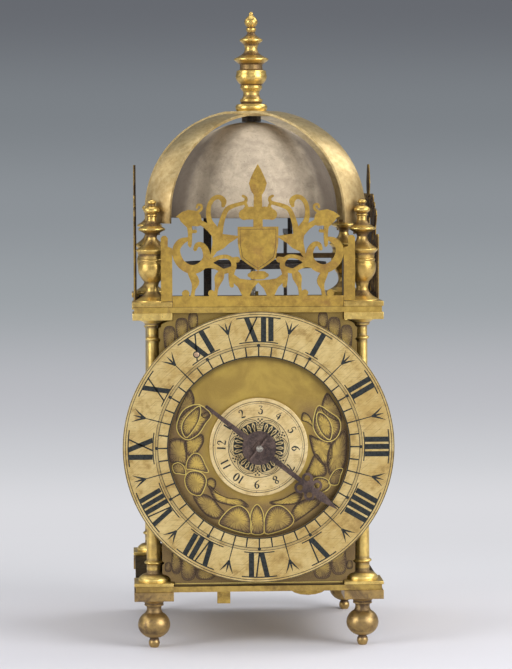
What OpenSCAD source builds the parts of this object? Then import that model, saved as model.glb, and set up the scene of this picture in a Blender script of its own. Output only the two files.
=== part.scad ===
// Brass lantern clock with a weight-driven movement, balance-wheel escapement, hour strike and alarm.
// Millimetres. The origin is on the floor at the middle of the clock. +Z is up and the dial faces -Y.

/* [Frame] */
// Distance between pillar centres, along the width and the depth
pillar_spacing = 128; // [124:0.5:136]
// Side of the square blocks over and under each pillar
block_w = 24; // [20:0.5:25]
// Thickness of the top and bottom plates
plate_t = 3.6; // [2.4:0.2:5]
// How far the plate edges stand back from the faces of the blocks
plate_setback = 1; // [0.5:0.1:2]
// Height of a foot from the floor to its square plinth
foot_h = 30; // [24:0.5:38]
// Height of the square plinth on a foot
foot_plinth_h = 5.4; // [4:0.2:8]
// Height of the pillars between the plates
pillar_h = 166.4; // [160:0.4:184]
// Height of the square block at the top of a pillar
pillar_block_h = 4.4; // [3:0.2:6]
// Height of the square block at the foot of a pillar
pillar_base_h = 2; // [1.6:0.2:4]
// Radius of a pillar just over its lower bead
pillar_low_r = 4.3; // [3.6:0.1:5]
// Radius of a pillar just under its upper bead
pillar_high_r = 3.1; // [2.8:0.1:4]
// Height of the square plinth under a corner finial
finial_plinth_h = 3; // [2:0.2:5]
// Radius of the threaded studs that hold feet, pillars and finials together
stud_r = 1.8; // [1.4:0.1:2.2]

/* [Frets] */
// Overall width of a fret
fret_w = 117.4; // [113:0.2:119]
// Height of a fret from the top plate to its tip
fret_h = 86; // [76:0.5:96]
// Thickness of a fret
fret_t = 1.5; // [1:0.1:1.8]
// Distance from a fret's fixing screws to its middle
fret_screw_x = 30; // [20:0.5:40]

/* [Bell] */
// Radius of the bell at its rim
bell_r = 54; // [50:0.5:56]
// Height of the bell
bell_h = 60; // [52:0.5:66]
// Wall of the bell
bell_wall = 2.2; // [1.6:0.1:3]
// Height of the bell's rim over the top plate
bell_lift = 53; // [50:0.5:60]
// Height of the collar between the bell and the straps
bell_collar_h = 3.4; // [2.6:0.1:6]
// Width of the arched straps
strap_w = 20; // [14:0.5:22]
// Thickness of the arched straps
strap_t = 1.6; // [1.2:0.1:2]
// How far inside a corner finial's axis the strap meets its flange
strap_inset = 6.1; // [6:0.05:6.3]

/* [Dial] */
// Outer radius of the chapter ring
ring_r = 82.5; // [76:0.5:84]
// Radius of the opening in the chapter ring
ring_bore_r = 55; // [50:0.5:60]
// Thickness of the chapter ring
ring_t = 1.6; // [1:0.1:2.4]
// Gap between the plate edges and the back of the chapter ring
ring_gap = 0.3; // [0.2:0.05:1]
// Radius of the circle of the chapter ring's feet
ring_foot_circle_r = 68; // [62:0.5:70]
// Thickness of the dial plate and of the back plate
dial_t = 1.5; // [1:0.1:2]
// How far the dial plate stands behind the plate edges
dial_setback = 3.4; // [3:0.1:4]
// Height of the dial's centre over the middle of the pillars
dial_rise = 1.4; // [0:0.1:2.5]
// Gap between the dial plate's edge and the pillars beside it
dial_edge_gap = 0.8; // [0.5:0.1:1.2]
// Radius of the alarm disc
alarm_disc_r = 30; // [24:0.5:34]
// Thickness of the alarm disc
alarm_disc_t = 1.2; // [0.8:0.1:1.6]
// Length of the hour hand from the centre to its tip
hand_tip = 61; // [50:0.5:74]
// Length of the hour hand's tail
hand_tail = 41; // [34:0.5:54]
// Radius of the hour hand's boss
hand_boss_r = 10.3; // [8:0.1:12]
// Thickness of the hour hand
hand_t = 1.5; // [1:0.1:1.8]
// Clockwise angle of the hour hand from twelve
hand_angle = 128.6; // [0:0.1:360]

/* [Doors] */
// Thickness of the side doors
door_t = 1.5; // [1:0.1:1.8]
// Gap between a door's edge and the blocks and plates round it
door_gap = 0.5; // [0.4:0.05:1]
// Radius of a door's hinge pins
door_pin_r = 1.1; // [0.8:0.1:1.3]
// How far a door's middle stands outside the line between its pillars
door_out = 2.2; // [1.5:0.1:3.5]

/* [Movement] */
// Thickness of the three upright movement bars
bar_t = 3; // [2.4:0.1:3.6]
// Width of the three upright movement bars
bar_w = 18; // [16:0.5:20]
// Distance from the middle bar to the front and back bars, centre to centre
bar_pitch = 56.5; // [56:0.1:57]
// Radius of the arbors
arbor_r = 1.6; // [1.4:0.05:1.7]
// Radius of the arbors' pivots
pivot_r = 1.2; // [0.9:0.05:1.3]
// Running clearance between a pivot and its hole
pivot_gap = 0.05; // [0.03:0.01:0.08]
// Radius of the rope pulleys
pulley_r = 22.5; // [18:0.5:24]
// Radius of the rope holes in the bottom plate
rope_hole_r = 6; // [4.5:0.1:6.5]
// Outer radius of the balance wheel
balance_r = 46; // [38:0.5:47]
// Width of the balance wheel's rim
balance_rim_w = 4; // [3:0.1:6]
// Thickness of the balance wheel
balance_t = 3; // [2:0.1:3.4]
// Height of the balance wheel over the top plate
balance_lift = 22; // [20:0.5:24]
// Distance of the verge in front of the middle bar's centre
verge_y = 14; // [13.5:0.1:15]
// Radius of the crown wheel's teeth
crown_r = 22; // [19:0.2:23]
// Radius of the hammer's head
hammer_head_r = 3.2; // [2.6:0.1:3.5]

/* [Hidden] */

// Colours
brass = [0.72, 0.60, 0.30];
old_brass = [0.60, 0.49, 0.27];
pale_brass = [0.85, 0.78, 0.55];
bell_metal = [0.66, 0.60, 0.50];
iron = [0.30, 0.29, 0.28];
steel = [0.50, 0.50, 0.50];

// Heights
bottom_plate_z = foot_h + foot_plinth_h;
pillar_z = bottom_plate_z + plate_t;
top_plate_z = pillar_z + pillar_h;
deck_z = top_plate_z + plate_t;
dial_z = pillar_z + pillar_h/2 + dial_rise;

// Plan sizes
corner = pillar_spacing/2;
block_face = corner + block_w/2;
block_inner = corner - block_w/2;
plate_edge = block_face - plate_setback;
dial_front = plate_edge - dial_setback;
dial_back = dial_front - dial_t;
door_x = corner + door_out;

// Bell frame
rim_z = deck_z + bell_lift;
bell_top_z = rim_z + bell_h;
crown_z = bell_top_z + bell_collar_h;
finial_z = crown_z + 2*strap_t;
strap_reach = corner*sqrt(2) - strap_inset;
flange_h = 47.2;
leg_foot_z = deck_z + flange_h + 3;
leg_h = 6;

// Front stack on the dial's centre line, as distances towards the front
ring_back = plate_edge + ring_gap;
ring_front = ring_back + ring_t;
hand_back = ring_front + 2;
hand_front = hand_back + hand_t;
pipe_end = hand_front + 0.3;
collet_back = pipe_end + 0.1;
collet_front = collet_back + 1;
reach = plate_edge + 11;
disc_back = dial_front + 1.4;

// Bars
bar_front = bar_pitch + bar_t/2;
bar_back = bar_pitch - bar_t/2;
pivot_depth = bar_t/2 - 0.2;

// Wheel trains: teeth, leaves, modules and places
hour_teeth = 72;
report_leaves = 6;
great_teeth = 56;
second_leaves = 7;
second_teeth = 54;
crown_leaves = 6;
crown_teeth = 15;
hour_m = 0.9;
great_m = 1.3;
second_m = 1.1;
strike_m = 1.25;
hoop_m = 1.2;
warning_m = 1;
count_m = 1.25;
strike_leaves = 8;
hoop_teeth = 48;
warning_teeth = 42;
fly_leaves = 7;
count_teeth = 48;
lifting_pins = 13;

side_x = 14;
great_z = dial_z - (hour_teeth + report_leaves)*hour_m/2;
second_d = (great_teeth + second_leaves)*great_m/2;
second_x = -side_x;
second_z = great_z + sqrt(second_d*second_d - side_x*side_x);
crown_d = (second_teeth + crown_leaves)*second_m/2;
crown_z0 = second_z + sqrt(crown_d*crown_d - side_x*side_x);
hoop_d = (great_teeth + strike_leaves)*strike_m/2;
hoop_x = side_x;
hoop_z = great_z + sqrt(hoop_d*hoop_d - side_x*side_x);
warning_d = (hoop_teeth + strike_leaves)*hoop_m/2;
warning_z = hoop_z + sqrt(warning_d*warning_d - side_x*side_x);
fly_d = (warning_teeth + fly_leaves)*warning_m/2;
fly_x = 10;
fly_z = warning_z + sqrt(fly_d*fly_d - fly_x*fly_x);
count_z = great_z + (count_teeth + strike_leaves)*count_m/2;

// Directions from each wheel to the pinion that it drives
second_dir = atan2(second_z - great_z, second_x);
crown_dir = atan2(crown_z0 - second_z, -second_x);
hoop_dir = atan2(hoop_z - great_z, hoop_x);
warning_dir = atan2(warning_z - hoop_z, -hoop_x);
fly_dir = atan2(fly_z - warning_z, fly_x);

// Levers: the striking hammer's head stands inside the bell with a gap, and its stem under the head
hammer_gap = 1.45;
hammer_y = 36;
hammer_reach = sqrt(pow(bell_r - bell_wall - hammer_gap, 2) - pow(hammer_y + hammer_head_r, 2));
hammer_x = 4.6 - hammer_reach;
hammer_z = great_z + 33.5;
lift_x = 46;
lift_z = great_z + 16.5;
lock_x = 46;
lock_z = hoop_z + 9;
lever_x = 42;
lever_z = hoop_z + 39;

// Alarm on the back plate
alarm_x = 26;
alarm_z = hoop_z + 24;
alarm_staff_r = 1.2;
alarm_staff_y = dial_front + 3.8;
alarm_pallet_r = 2.9;
alarm_crown_r = 15;
alarm_tooth_y = alarm_staff_y + alarm_pallet_r + 0.4;
alarm_head_r = 3.4;
alarm_head_gap = 2.5;
alarm_head = polar(bell_r - bell_wall - alarm_head_r - alarm_head_gap, 54.55);
alarm_reach = [alarm_head[0] - alarm_x, alarm_head[1] - alarm_staff_y];

function polar(r, a) = [r*cos(a), r*sin(a)];

// Points of a turned outline from one radius and height to the next, swelling out by b
function swell(r0, z0, r1, z1, b = 0, n = 6) =
    [for (i = [0:n]) [r0 + (r1 - r0)*i/n + b*sin(180*i/n), z0 + (z1 - z0)*i/n]];

function regular(n, r) = [for (i = [0:n - 1]) polar(r, 360*i/n + 180/n)];

// A wheel's or pinion's outline: straight-sided teeth, their widths as shares of the pitch
function tooth_points(teeth, m, turn, add, ded, tip, pitch, root) =
    [for (k = [0:teeth - 1]) each
        let (c = turn + 360*k/teeth, w = 180/teeth, r = teeth*m/2) [
            polar(r - ded*m, c - root*w), polar(r, c - pitch*w), polar(r + add*m, c - tip*w),
            polar(r + add*m, c + tip*w), polar(r, c + pitch*w), polar(r - ded*m, c + root*w)
        ]];
function wheel_points(teeth, m, turn) = tooth_points(teeth, m, turn, 0.75, 1.1, 0.18, 0.4, 0.5);
function pinion_points(leaves, m, turn) = tooth_points(leaves, m, turn, 0.45, 1, 0.2, 0.3, 0.3);

// Catmull-Rom point between p1 and p2
function blend_point(p0, p1, p2, p3, t) =
    0.5*(2*p1 + (p2 - p0)*t + (2*p0 - 5*p1 + 4*p2 - p3)*t*t + (3*p1 - p0 - 3*p2 + p3)*t*t*t);
function smooth_path(p, n = 3) =
    let (e = len(p) - 1)
    concat([for (i = [0:e - 1], j = [0:n - 1])
        blend_point(p[max(i - 1, 0)], p[i], p[i + 1], p[min(i + 2, e)], j/n)], [p[e]]);
// One edge of a stroke whose points are [x, y, width]; side is 1 or -1
function stroke_edge(q, side) =
    [for (i = [0:len(q) - 1])
        let (a = q[max(i - 1, 0)], b = q[min(i + 1, len(q) - 1)], d = [b[0] - a[0], b[1] - a[1]])
        [q[i][0] - side*d[1]/norm(d)*q[i][2]/2, q[i][1] + side*d[0]/norm(d)*q[i][2]/2]];
function reversed(p) = [for (i = [len(p) - 1:-1:0]) p[i]];

module stroke(p) {
    q = smooth_path(p);
    polygon(concat(stroke_edge(q, 1), reversed(stroke_edge(q, -1))));
    translate([p[0][0], p[0][1]]) circle(d = p[0][2], $fn = 14);
    translate([p[len(p) - 1][0], p[len(p) - 1][1]]) circle(d = p[len(p) - 1][2], $fn = 14);
}

module bud(x, y, r) translate([x, y]) circle(r = r, $fn = 16);

module turned(points) rotate_extrude($fn = 48) polygon(points);

// A flat outline, drawn as seen from the front, between two distances along Y
module along_y(x, y0, y1, z) translate([x, y1, z]) rotate([90, 0, 0]) linear_extrude(y1 - y0) children();
module rod(x, y0, y1, z, r) translate([x, y1, z]) rotate([90, 0, 0]) cylinder(r = r, h = y1 - y0, $fn = 32);
module four_corners() for (x = [-1, 1], y = [-1, 1]) translate([x*corner, y*corner, 0]) children();

// Cut-outs between a wheel's spokes
module crossings(hub_r, rim_r, spoke_w, spokes, turn = 0) {
    n = 8;
    for (k = [0:spokes - 1]) {
        a = turn + 360*k/spokes;
        b = a + 360/spokes;
        out = asin(spoke_w/2/rim_r);
        in = asin(spoke_w/2/hub_r);
        polygon(concat(
            [for (i = [0:n]) polar(rim_r, a + out + (b - a - 2*out)*i/n)],
            [for (i = [n:-1:0]) polar(hub_r, a + in + (b - a - 2*in)*i/n)]));
    }
}

module wheel(teeth, m, turn, bore_r, hub_r = 6, rim_w = 4, spoke_w = 3, spokes = 4) difference() {
    polygon(wheel_points(teeth, m, turn));
    crossings(hub_r, teeth*m/2 - rim_w, spoke_w, spokes, 45);
    polygon(regular(12, (bore_r + 0.02)/cos(15)));
}

module pinion(leaves, m, turn, bore_r) difference() {
    polygon(pinion_points(leaves, m, turn));
    polygon(regular(12, (bore_r + 0.02)/cos(15)));
}

// An arbor along Y with a thinner pivot at each end; the ends are where its shoulders stand
module arbor(x, y0, y1, z, front_pivot, back_pivot) {
    rod(x, y0, y1, z, arbor_r);
    if (front_pivot > 0) rod(x, y0 - front_pivot, y0 + 0.5, z, pivot_r);
    if (back_pivot > 0) rod(x, y1 - 0.5, y1 + back_pivot, z, pivot_r);
}

module pivot_hole(x, z, r = pivot_r) translate([x, z]) circle(r = r + pivot_gap, $fn = 32);

// Plates
module plate_blank(z) difference() {
    translate([-plate_edge, -plate_edge, z]) cube([2*plate_edge, 2*plate_edge, plate_t]);
    four_corners() translate([0, 0, z - 1]) cylinder(r = stud_r + 0.1, h = plate_t + 2, $fn = 24);
    for (s = [-1, 1]) translate([s*door_x, door_hinge_y, z - 1])
        cylinder(r = door_pin_r + 0.05, h = plate_t + 2, $fn = 24);
}

tenon_w = 8;
tenon_gap = 0.1;
lug_x = 21;
half_moon_x = 31;
half_moon_w = 24;
module tenon_slot(x, y, w, z) translate([x - w/2 - tenon_gap, y - bar_t/2 - tenon_gap, z - 1])
    cube([w + 2*tenon_gap, bar_t + 2*tenon_gap, plate_t + 2]);

going_pulley_y = -39;
strike_pulley_y = 21;
module bottom_plate() color(old_brass) difference() {
    plate_blank(bottom_plate_z);
    tenon_slot(-lug_x, -bar_pitch, tenon_w, bottom_plate_z);
    tenon_slot(half_moon_x, -bar_pitch, half_moon_w, bottom_plate_z);
    for (y = [0, bar_pitch]) tenon_slot(0, y, tenon_w, bottom_plate_z);
    for (x = [-1, 1], y = [going_pulley_y, strike_pulley_y])
        translate([x*(pulley_r - 2.5), y, bottom_plate_z - 1])
            cylinder(r = rope_hole_r, h = plate_t + 2, $fn = 32);
    translate([spring_foot_x, hammer_y, bottom_plate_z - 1])
        cylinder(r = screw_r + 0.05, h = plate_t + 2, $fn = 24);
}

module top_plate() color(brass) difference() {
    plate_blank(top_plate_z);
    for (y = [-bar_pitch, 0, bar_pitch]) tenon_slot(0, y, tenon_w, top_plate_z);
    translate([0, -verge_y, top_plate_z - 1]) cylinder(r = 4, h = plate_t + 2, $fn = 32);
    translate([hammer_x - 5, hammer_y - 3.5, top_plate_z - 1]) cube([26, 7, plate_t + 2]);
    translate([alarm_x - 2.5, alarm_staff_y - 3, top_plate_z - 1]) cube([5, 10, plate_t + 2]);
    for (s = [0:2]) fret_side(s) for (x = [-1, 1]) translate([x*fret_screw_x, tab_y, top_plate_z - 1])
        cylinder(r = screw_r + 0.05, h = plate_t + 2, $fn = 24);
    for (y = cock_screws) translate([cock_x, y, top_plate_z - 1])
        cylinder(r = screw_r + 0.05, h = plate_t + 2, $fn = 24);
}

// Pillars, feet and finials
bead_z = 12.3;
function pillar_outline() = concat(
    [[0, pillar_base_h - 1], [9.4, pillar_base_h - 1], [9.4, pillar_base_h]],
    swell(9.4, pillar_base_h + 0.2, 6.9, pillar_base_h + 4, 0.9),
    [[5.4, pillar_base_h + 4.3], [pillar_low_r, pillar_base_h + 5], [pillar_low_r, bead_z - 0.1]],
    swell(pillar_low_r + 0.3, bead_z, pillar_low_r + 0.3, bead_z + 2.2, 1.1),
    [[pillar_low_r, bead_z + 2.4], [pillar_high_r, pillar_h - 17.4]],
    swell(pillar_high_r + 0.2, pillar_h - 17.2, pillar_high_r + 0.2, pillar_h - 15, 0.9),
    [[pillar_high_r - 0.1, pillar_h - 14.8], [pillar_high_r - 0.1, pillar_h - 8.8]],
    [[pillar_high_r + 1.3, pillar_h - 8.2], [pillar_high_r + 1.4, pillar_h - 7.4]],
    swell(4.5, pillar_h - 7.2, 8.1, pillar_h - pillar_block_h - 0.4, -0.8),
    [[8.3, pillar_h - pillar_block_h], [8.3, pillar_h - pillar_block_h + 1]],
    [[0, pillar_h - pillar_block_h + 1]]);

module pillar(x, y) color(brass) translate([x*corner, y*corner, pillar_z]) difference() {
    union() {
        translate([-block_w/2, -block_w/2, 0]) cube([block_w, block_w, pillar_base_h]);
        turned(pillar_outline());
        translate([-block_w/2, -block_w/2, pillar_h - pillar_block_h])
            cube([block_w, block_w, pillar_block_h]);
    }
    translate([0, 0, -1]) cylinder(r = stud_r + 0.05, h = 8, $fn = 24);
    translate([0, 0, pillar_h - 7]) cylinder(r = stud_r + 0.05, h = 8, $fn = 24);
}

function foot_outline() = concat(
    [[0, 0], [2.2, 0]],
    swell(2.4, 0.2, 2.6, 6, 0.9),
    [[2.4, 6.3]],
    swell(3.2, 6.5, 6.2, foot_h - 9.7, 5.4, 10),
    [[6.2, foot_h - 8.9]],
    swell(5.2, foot_h - 8.7, 5, foot_h - 4.4, -0.4),
    [[5.9, foot_h - 4.1], [5.9, foot_h - 3.3]],
    swell(5.6, foot_h - 3.1, 9, foot_h, -0.8),
    [[9, foot_h + 1], [0, foot_h + 1]]);

module foot(x, y) color(old_brass) translate([x*corner, y*corner, 0]) {
    turned(foot_outline());
    translate([-block_w/2, -block_w/2, foot_h]) cube([block_w, block_w, foot_plinth_h]);
    translate([0, 0, bottom_plate_z - 1]) cylinder(r = stud_r, h = plate_t + 7.5, $fn = 24);
}

function corner_finial_outline() = concat(
    [[0, finial_plinth_h - 1], [10.2, finial_plinth_h - 1], [10.2, finial_plinth_h + 0.6]],
    swell(9.8, finial_plinth_h + 0.8, 3.65, 10.2, -1.4),
    [[3.65, 11.8]],
    swell(4.3, 14.4, 8.4, 25.2, 1.5, 8),
    [[7.6, 27.2], [8, 27.5], [8, 28.4], [7.4, 28.8], [7.6, 31.5], [9.2, 33.3], [9.6, 33.8], [9.6, 34.4]],
    swell(9.2, 34.6, 3.1, 41.7, -1.5),
    swell(3.1, 42, 7.6, flange_h - 1.2, -1.2),
    [[8.2, flange_h - 0.9], [8.2, flange_h]],
    swell(7.8, flange_h + 0.2, 2.9, 52.8, -1.3),
    [[2.9, 54.4], [3.5, 54.7], [3.5, 55.6], [2.9, 55.9]],
    swell(2.9, 56.4, 2.9, 60.6, 2.1),
    [[2.1, 60.9], [2.1, 61.6]],
    swell(1.7, 61.8, 0.6, 65, 1.6),
    [[0, 65.2]]);

// A corner finial with its stud, and a hole in its flange for the strap's peg
module corner_finial(x, y) color(brass) translate([x*corner, y*corner, deck_z]) {
    difference() {
        union() {
            translate([-block_w/2, -block_w/2, 0]) cube([block_w, block_w, finial_plinth_h]);
            turned(corner_finial_outline());
            translate([0, 0, -plate_t - 6]) cylinder(r = stud_r, h = plate_t + 7, $fn = 24);
        }
        translate([-x*strap_inset/sqrt(2), -y*strap_inset/sqrt(2), flange_h - 5])
            cylinder(r = peg_r + 0.1, h = 9, $fn = 24);
    }
}

// Frets: one half of the pattern, mirrored. It is drawn for a fret of this width and height.
fret_drawing = [117.4, 86];
module fret_half() {
    stroke([[-42.5, 41, 2.2], [-46.5, 39.3, 4.2], [-49.2, 35.5, 4.6], [-49, 30.6, 5.2], [-45.8, 25.3, 5.2],
        [-40, 22.6, 5.4], [-34.5, 24.4, 5.2], [-31.2, 29, 4.6], [-31.6, 34, 4], [-34, 37.4, 3.2],
        [-36.8, 37.4, 2.8], [-38, 34.8, 2.2]]);
    polygon([[-49.6, 54.4], [-46, 57.2], [-42, 58.6], [-37.8, 58], [-34.8, 55.8], [-33.2, 49.6],
        [-36.4, 48.6], [-39.6, 48.8], [-41.8, 47.2], [-43.8, 48.8], [-46.6, 51.6], [-47.6, 53.6]]);
    stroke([[-41.5, 49, 3], [-41, 44, 2.5], [-41.2, 38, 2.4], [-41, 36.6, 1.4]]);
    stroke([[-40.6, 45.4, 2], [-37.8, 45.6, 2]]);
    stroke([[-36.6, 57, 1.8], [-34.2, 59, 1.6], [-34.2, 61.2, 1.5], [-36.2, 61.6, 1.4], [-36.9, 59.9, 1.2]]);
    stroke([[-28.2, 30.2, 1.8], [-26.1, 35.2, 4], [-24.7, 39.3, 5.6], [-24.9, 43.4, 6.2], [-26.9, 47.4, 5],
        [-29, 51.5, 3.4], [-29.9, 56.2, 2.8], [-29.3, 61.4, 2.6], [-26.7, 65.3, 2.6], [-23.2, 66.2, 2.8],
        [-20.6, 63.8, 3.4], [-21, 61, 2.2]]);
    stroke([[-23.8, 42.4, 4.5], [-22.4, 49.2, 3.4], [-20.9, 54.4, 3], [-18.6, 58.9, 2.8], [-14.5, 61, 2.4],
        [-10.5, 62.1, 2.2], [-7.6, 63.2, 2], [-7.2, 65.6, 1.8], [-9, 66.8, 1.5]]);
    stroke([[-7.9, 62.6, 1.8], [-6.8, 60.2, 1.8], [-8, 57.6, 2]]);
    stroke([[-26, 44, 4.4], [-30, 47.9, 3.6], [-34.4, 50.8, 3]]);
    polygon([[-23.4, 44.2], [-17, 43.4], [-12, 42.7], [-12, 41.8], [-17.6, 38.2], [-20.9, 35.2], [-25, 33.3],
        [-27, 30.8]]);
    stroke([[-29.4, 27, 3.4], [-26.4, 28.6, 2.6], [-22.8, 30, 2.4], [-18.8, 30.2, 2.4], [-15.7, 28.2, 2.6],
        [-14.6, 24.8, 3.2], [-16, 21.2, 3.6], [-16.4, 16.8, 3], [-16, 12.8, 2.6]]);
    stroke([[-15.4, 28.6, 2.4], [-12.7, 28.4, 3.6]]);
    stroke([[-33, 25.4, 4.6], [-28.5, 25.2, 3.4], [-24.4, 23.4, 2.8], [-20.9, 21.4, 3.2], [-16.2, 22.8, 3]]);
    stroke([[-21.6, 21.6, 3], [-23.6, 17.6, 5.6], [-25, 11.8, 2.2], [-26, 6.4, 2.6]]);
    bud(-28.3, 8.2, 2);
    stroke([[-40.4, 20.4, 4.2], [-38, 15.2, 5], [-39, 10.6, 2.2], [-39.8, 6.4, 2.6]]);
    bud(-43.8, 8, 2.3);
    polygon([[-15.6, 20.2], [-11, 16.9], [-6, 16.2], [0, 15.8], [0, 14.6], [-3.4, 10.8], [-5.6, 6], [-9.4, 6],
        [-12.2, 11.8], [-15, 14.4]]);
    polygon([[0.2, 48.2], [-12.3, 48.2], [-12.2, 38], [-10.6, 29], [-6, 25.4], [0.2, 21.4]]);
    stroke([[0, 18.9, 5.2], [-3.8, 19, 4.6], [-5.2, 19, 2.4]]);
    polygon([[0.2, 47.4], [-2.8, 47.4], [-2.8, 53.4], [0.2, 53.4]]);
    bud(-8.3, 55.6, 3.3);
    bud(-6.6, 58.2, 2.4);
    polygon([[0.2, 52.6], [-8.4, 52.6], [-8.4, 59], [-4.4, 60.4], [0.2, 60]]);
    polygon([[0.2, 58], [-2.6, 58], [-2.4, 67.4], [-4.2, 70.2], [-5.4, 74.4], [-3.8, 78.6], [-1.8, 82.8],
        [0, 86], [0.2, 85.4]]);
}

fret_face = plate_edge - 0.2;
tab_y = -(fret_face - fret_t - 4);
tab_t = 1.4;
screw_r = 1.2;
screw_head_r = 2.2;
fret_notch_gap = 0.3;
module fret_outline() {
    notch_x = (block_inner - fret_notch_gap)*fret_drawing[0]/fret_w;
    half_w = fret_drawing[0]/2;
    offset(delta = 0.02) {
        for (s = [-1, 1]) scale([s, 1]) {
            fret_half();
            translate([-half_w, 0]) polygon([[0, 5], [0, 41.6], [1.2, 43], [3, 43], [4.2, 41.6],
                [4.2, 36.4], [6.8, 35.4], [6.8, 5]]);
            polygon([[-half_w, 3.4], [-half_w, 6.6], [-notch_x - 0.2, 6.6], [-notch_x - 0.2, 3.4]]);
        }
        polygon([[-notch_x, 0.02], [notch_x, 0.02], [notch_x, 6.5], [-notch_x, 6.5]]);
    }
}

// A fret as it stands over the front, left and right edges of the top plate
module fret_side(side) rotate([0, 0, [0, -90, 90][side]]) children();
module fret(side) color(brass) fret_side(side) difference() {
    union() {
        translate([0, -fret_face + fret_t, deck_z]) rotate([90, 0, 0])
            linear_extrude(fret_t) scale([fret_w/fret_drawing[0], fret_h/fret_drawing[1]]) fret_outline();
        for (x = [-1, 1]) translate([x*fret_screw_x - 4, -fret_face + fret_t/2, deck_z])
            cube([8, 8 + fret_t/2, tab_t]);
    }
    for (x = [-1, 1]) translate([x*fret_screw_x, tab_y, deck_z - 1])
        cylinder(r = screw_r + 0.05, h = 4, $fn = 24);
}

module screw(z, grip) {
    translate([0, 0, z]) cylinder(r = screw_head_r, h = 1.3, $fn = 24);
    translate([0, 0, z - grip]) cylinder(r = screw_r, h = grip + 0.5, $fn = 24);
}
cock_x = 58;
cock_screws = [-verge_y - 6.6, -verge_y + 6.6];
cock_foot_t = 2;
module fret_screws() color(steel) {
    for (s = [0:2]) fret_side(s) for (x = [-1, 1])
        translate([x*fret_screw_x, tab_y, 0]) screw(deck_z + tab_t, tab_t + plate_t - 0.4);
    for (y = cock_screws) translate([cock_x, y, 0]) screw(deck_z + cock_foot_t, cock_foot_t + plate_t - 0.4);
    translate([spring_foot_x, hammer_y, 0]) screw(pillar_z + 1.5, 1.5 + plate_t - 0.4);
}

// Bell and its frame
bell_power = 2.1;
function bell_points(r, h, n = 20) =
    [for (i = [0:n]) let (a = 90*i/n) [r*pow(cos(a), 2/bell_power), rim_z + h*pow(sin(a), 2/bell_power)]];
bell_stud_r = 2.4;
module bell() color(bell_metal) rotate_extrude($fn = 96) difference() {
    polygon(concat([for (p = bell_points(bell_r, bell_h)) p], [[0, rim_z]]));
    polygon(concat([for (p = bell_points(bell_r - bell_wall, bell_h - bell_wall)) p],
        [[0, rim_z - 1], [bell_r - bell_wall, rim_z - 1]]));
    translate([-1, rim_z]) square([bell_stud_r + 1.1, bell_h + 1]);
}

peg_r = 1;
strap_sides = 40;
function arch_points(r, h) = [for (i = [0:strap_sides])
    [r*cos(180*i/strap_sides), leg_foot_z + leg_h + h*min(1, 1.0125*sin(180*i/strap_sides))]];
module strap(turn, lift) {
    rise = crown_z + lift - leg_foot_z - leg_h;
    color(brass) rotate([0, 0, turn]) difference() {
        union() {
            translate([0, strap_w/2, 0]) rotate([90, 0, 0]) linear_extrude(strap_w)
                polygon(concat(
                    [[strap_reach + strap_t/2, leg_foot_z]],
                    arch_points(strap_reach + strap_t/2, rise + strap_t),
                    [[-strap_reach - strap_t/2, leg_foot_z], [-strap_reach + strap_t/2, leg_foot_z]],
                    reversed(arch_points(strap_reach - strap_t/2, rise)),
                    [[strap_reach - strap_t/2, leg_foot_z]]));
            for (s = [-1, 1]) translate([s*strap_reach, 0, leg_foot_z - 7])
                cylinder(r = peg_r*0.75, h = 7.5, $fn = 24);
        }
        translate([0, 0, crown_z - 5]) cylinder(r = bell_stud_r + 0.1, h = 15, $fn = 32);
    }
}
module lower_strap() strap(45, 0);
module upper_strap() strap(135, strap_t);

function top_finial_outline() = concat(
    [[0, 0], [9.2, 0]],
    swell(9.2, 0.2, 9.2, 4.2, 0.9),
    [[6.4, 4.8], [7.1, 6.2], [7.1, 7.4]],
    swell(6.2, 7.8, 5.2, 12.2, -0.6),
    [[6.9, 14.6], [6.9, 16]],
    swell(6.4, 16.3, 9.3, 24, 1.7, 8),
    [[9.3, 25.4], [7.2, 26.2], [7, 29.2], [10.4, 31.8], [10.9, 32.2], [10.9, 33]],
    swell(10.3, 33.3, 4, 39, -1.8),
    swell(4, 39.6, 6.8, 43.8, -0.8),
    [[7.2, 44.2], [7.2, 45]],
    swell(6.8, 45.3, 2.3, 49.2, -0.8),
    [[3.2, 51], [3.2, 52], [2.4, 52.4]],
    swell(2.4, 52.6, 1.4, 60.2, 2.3),
    swell(1.2, 60.4, 0.5, 62.4, 0.5),
    [[0, 62.4]]);
stud_length = 15;
module top_finial() color(brass) {
    translate([0, 0, finial_z]) turned(top_finial_outline());
    translate([0, 0, crown_z - bell_collar_h - stud_length]) cylinder(r = bell_stud_r,
        h = finial_z - crown_z + bell_collar_h + stud_length + 1, $fn = 32);
}

module bell_nut() color(iron) {
    inner_top = bell_top_z - bell_wall;
    difference() {
        union() {
            translate([0, 0, bell_top_z]) cylinder(r = 6, h = bell_collar_h, $fn = 32);
            translate([0, 0, inner_top - 1.45]) cylinder(r = 5, h = 1.2, $fn = 32);
            translate([-5, -5, inner_top - 6]) cube([10, 10, 4.6]);
        }
        translate([0, 0, inner_top - 12])
            cylinder(r = bell_stud_r + 0.05, h = bell_wall + bell_collar_h + 20, $fn = 32);
    }
}

// Dial plate and back plate: their edges follow the outline of the pillars beside them
function plate_side() = concat(
    [[block_inner - door_gap, 0], [block_inner - door_gap, pillar_base_h + 0.4]],
    [for (p = pillar_outline())
        if (p[0] > 0 && p[1] > pillar_base_h && p[1] < pillar_h - pillar_block_h - 0.3)
            [min(corner - p[0] - dial_edge_gap, corner - pillar_high_r - 0.6),
                p[1] + (p[1] < pillar_h/2 ? 0.5 : -0.5)]],
    [[block_inner - door_gap, pillar_h - pillar_block_h - 0.2], [block_inner - door_gap, pillar_h - 0.2]]);
module case_plate_outline() {
    side = plate_side();
    translate([0, pillar_z]) polygon(concat(side, reversed([for (p = side) [-p[0], p[1]]])));
}

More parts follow.
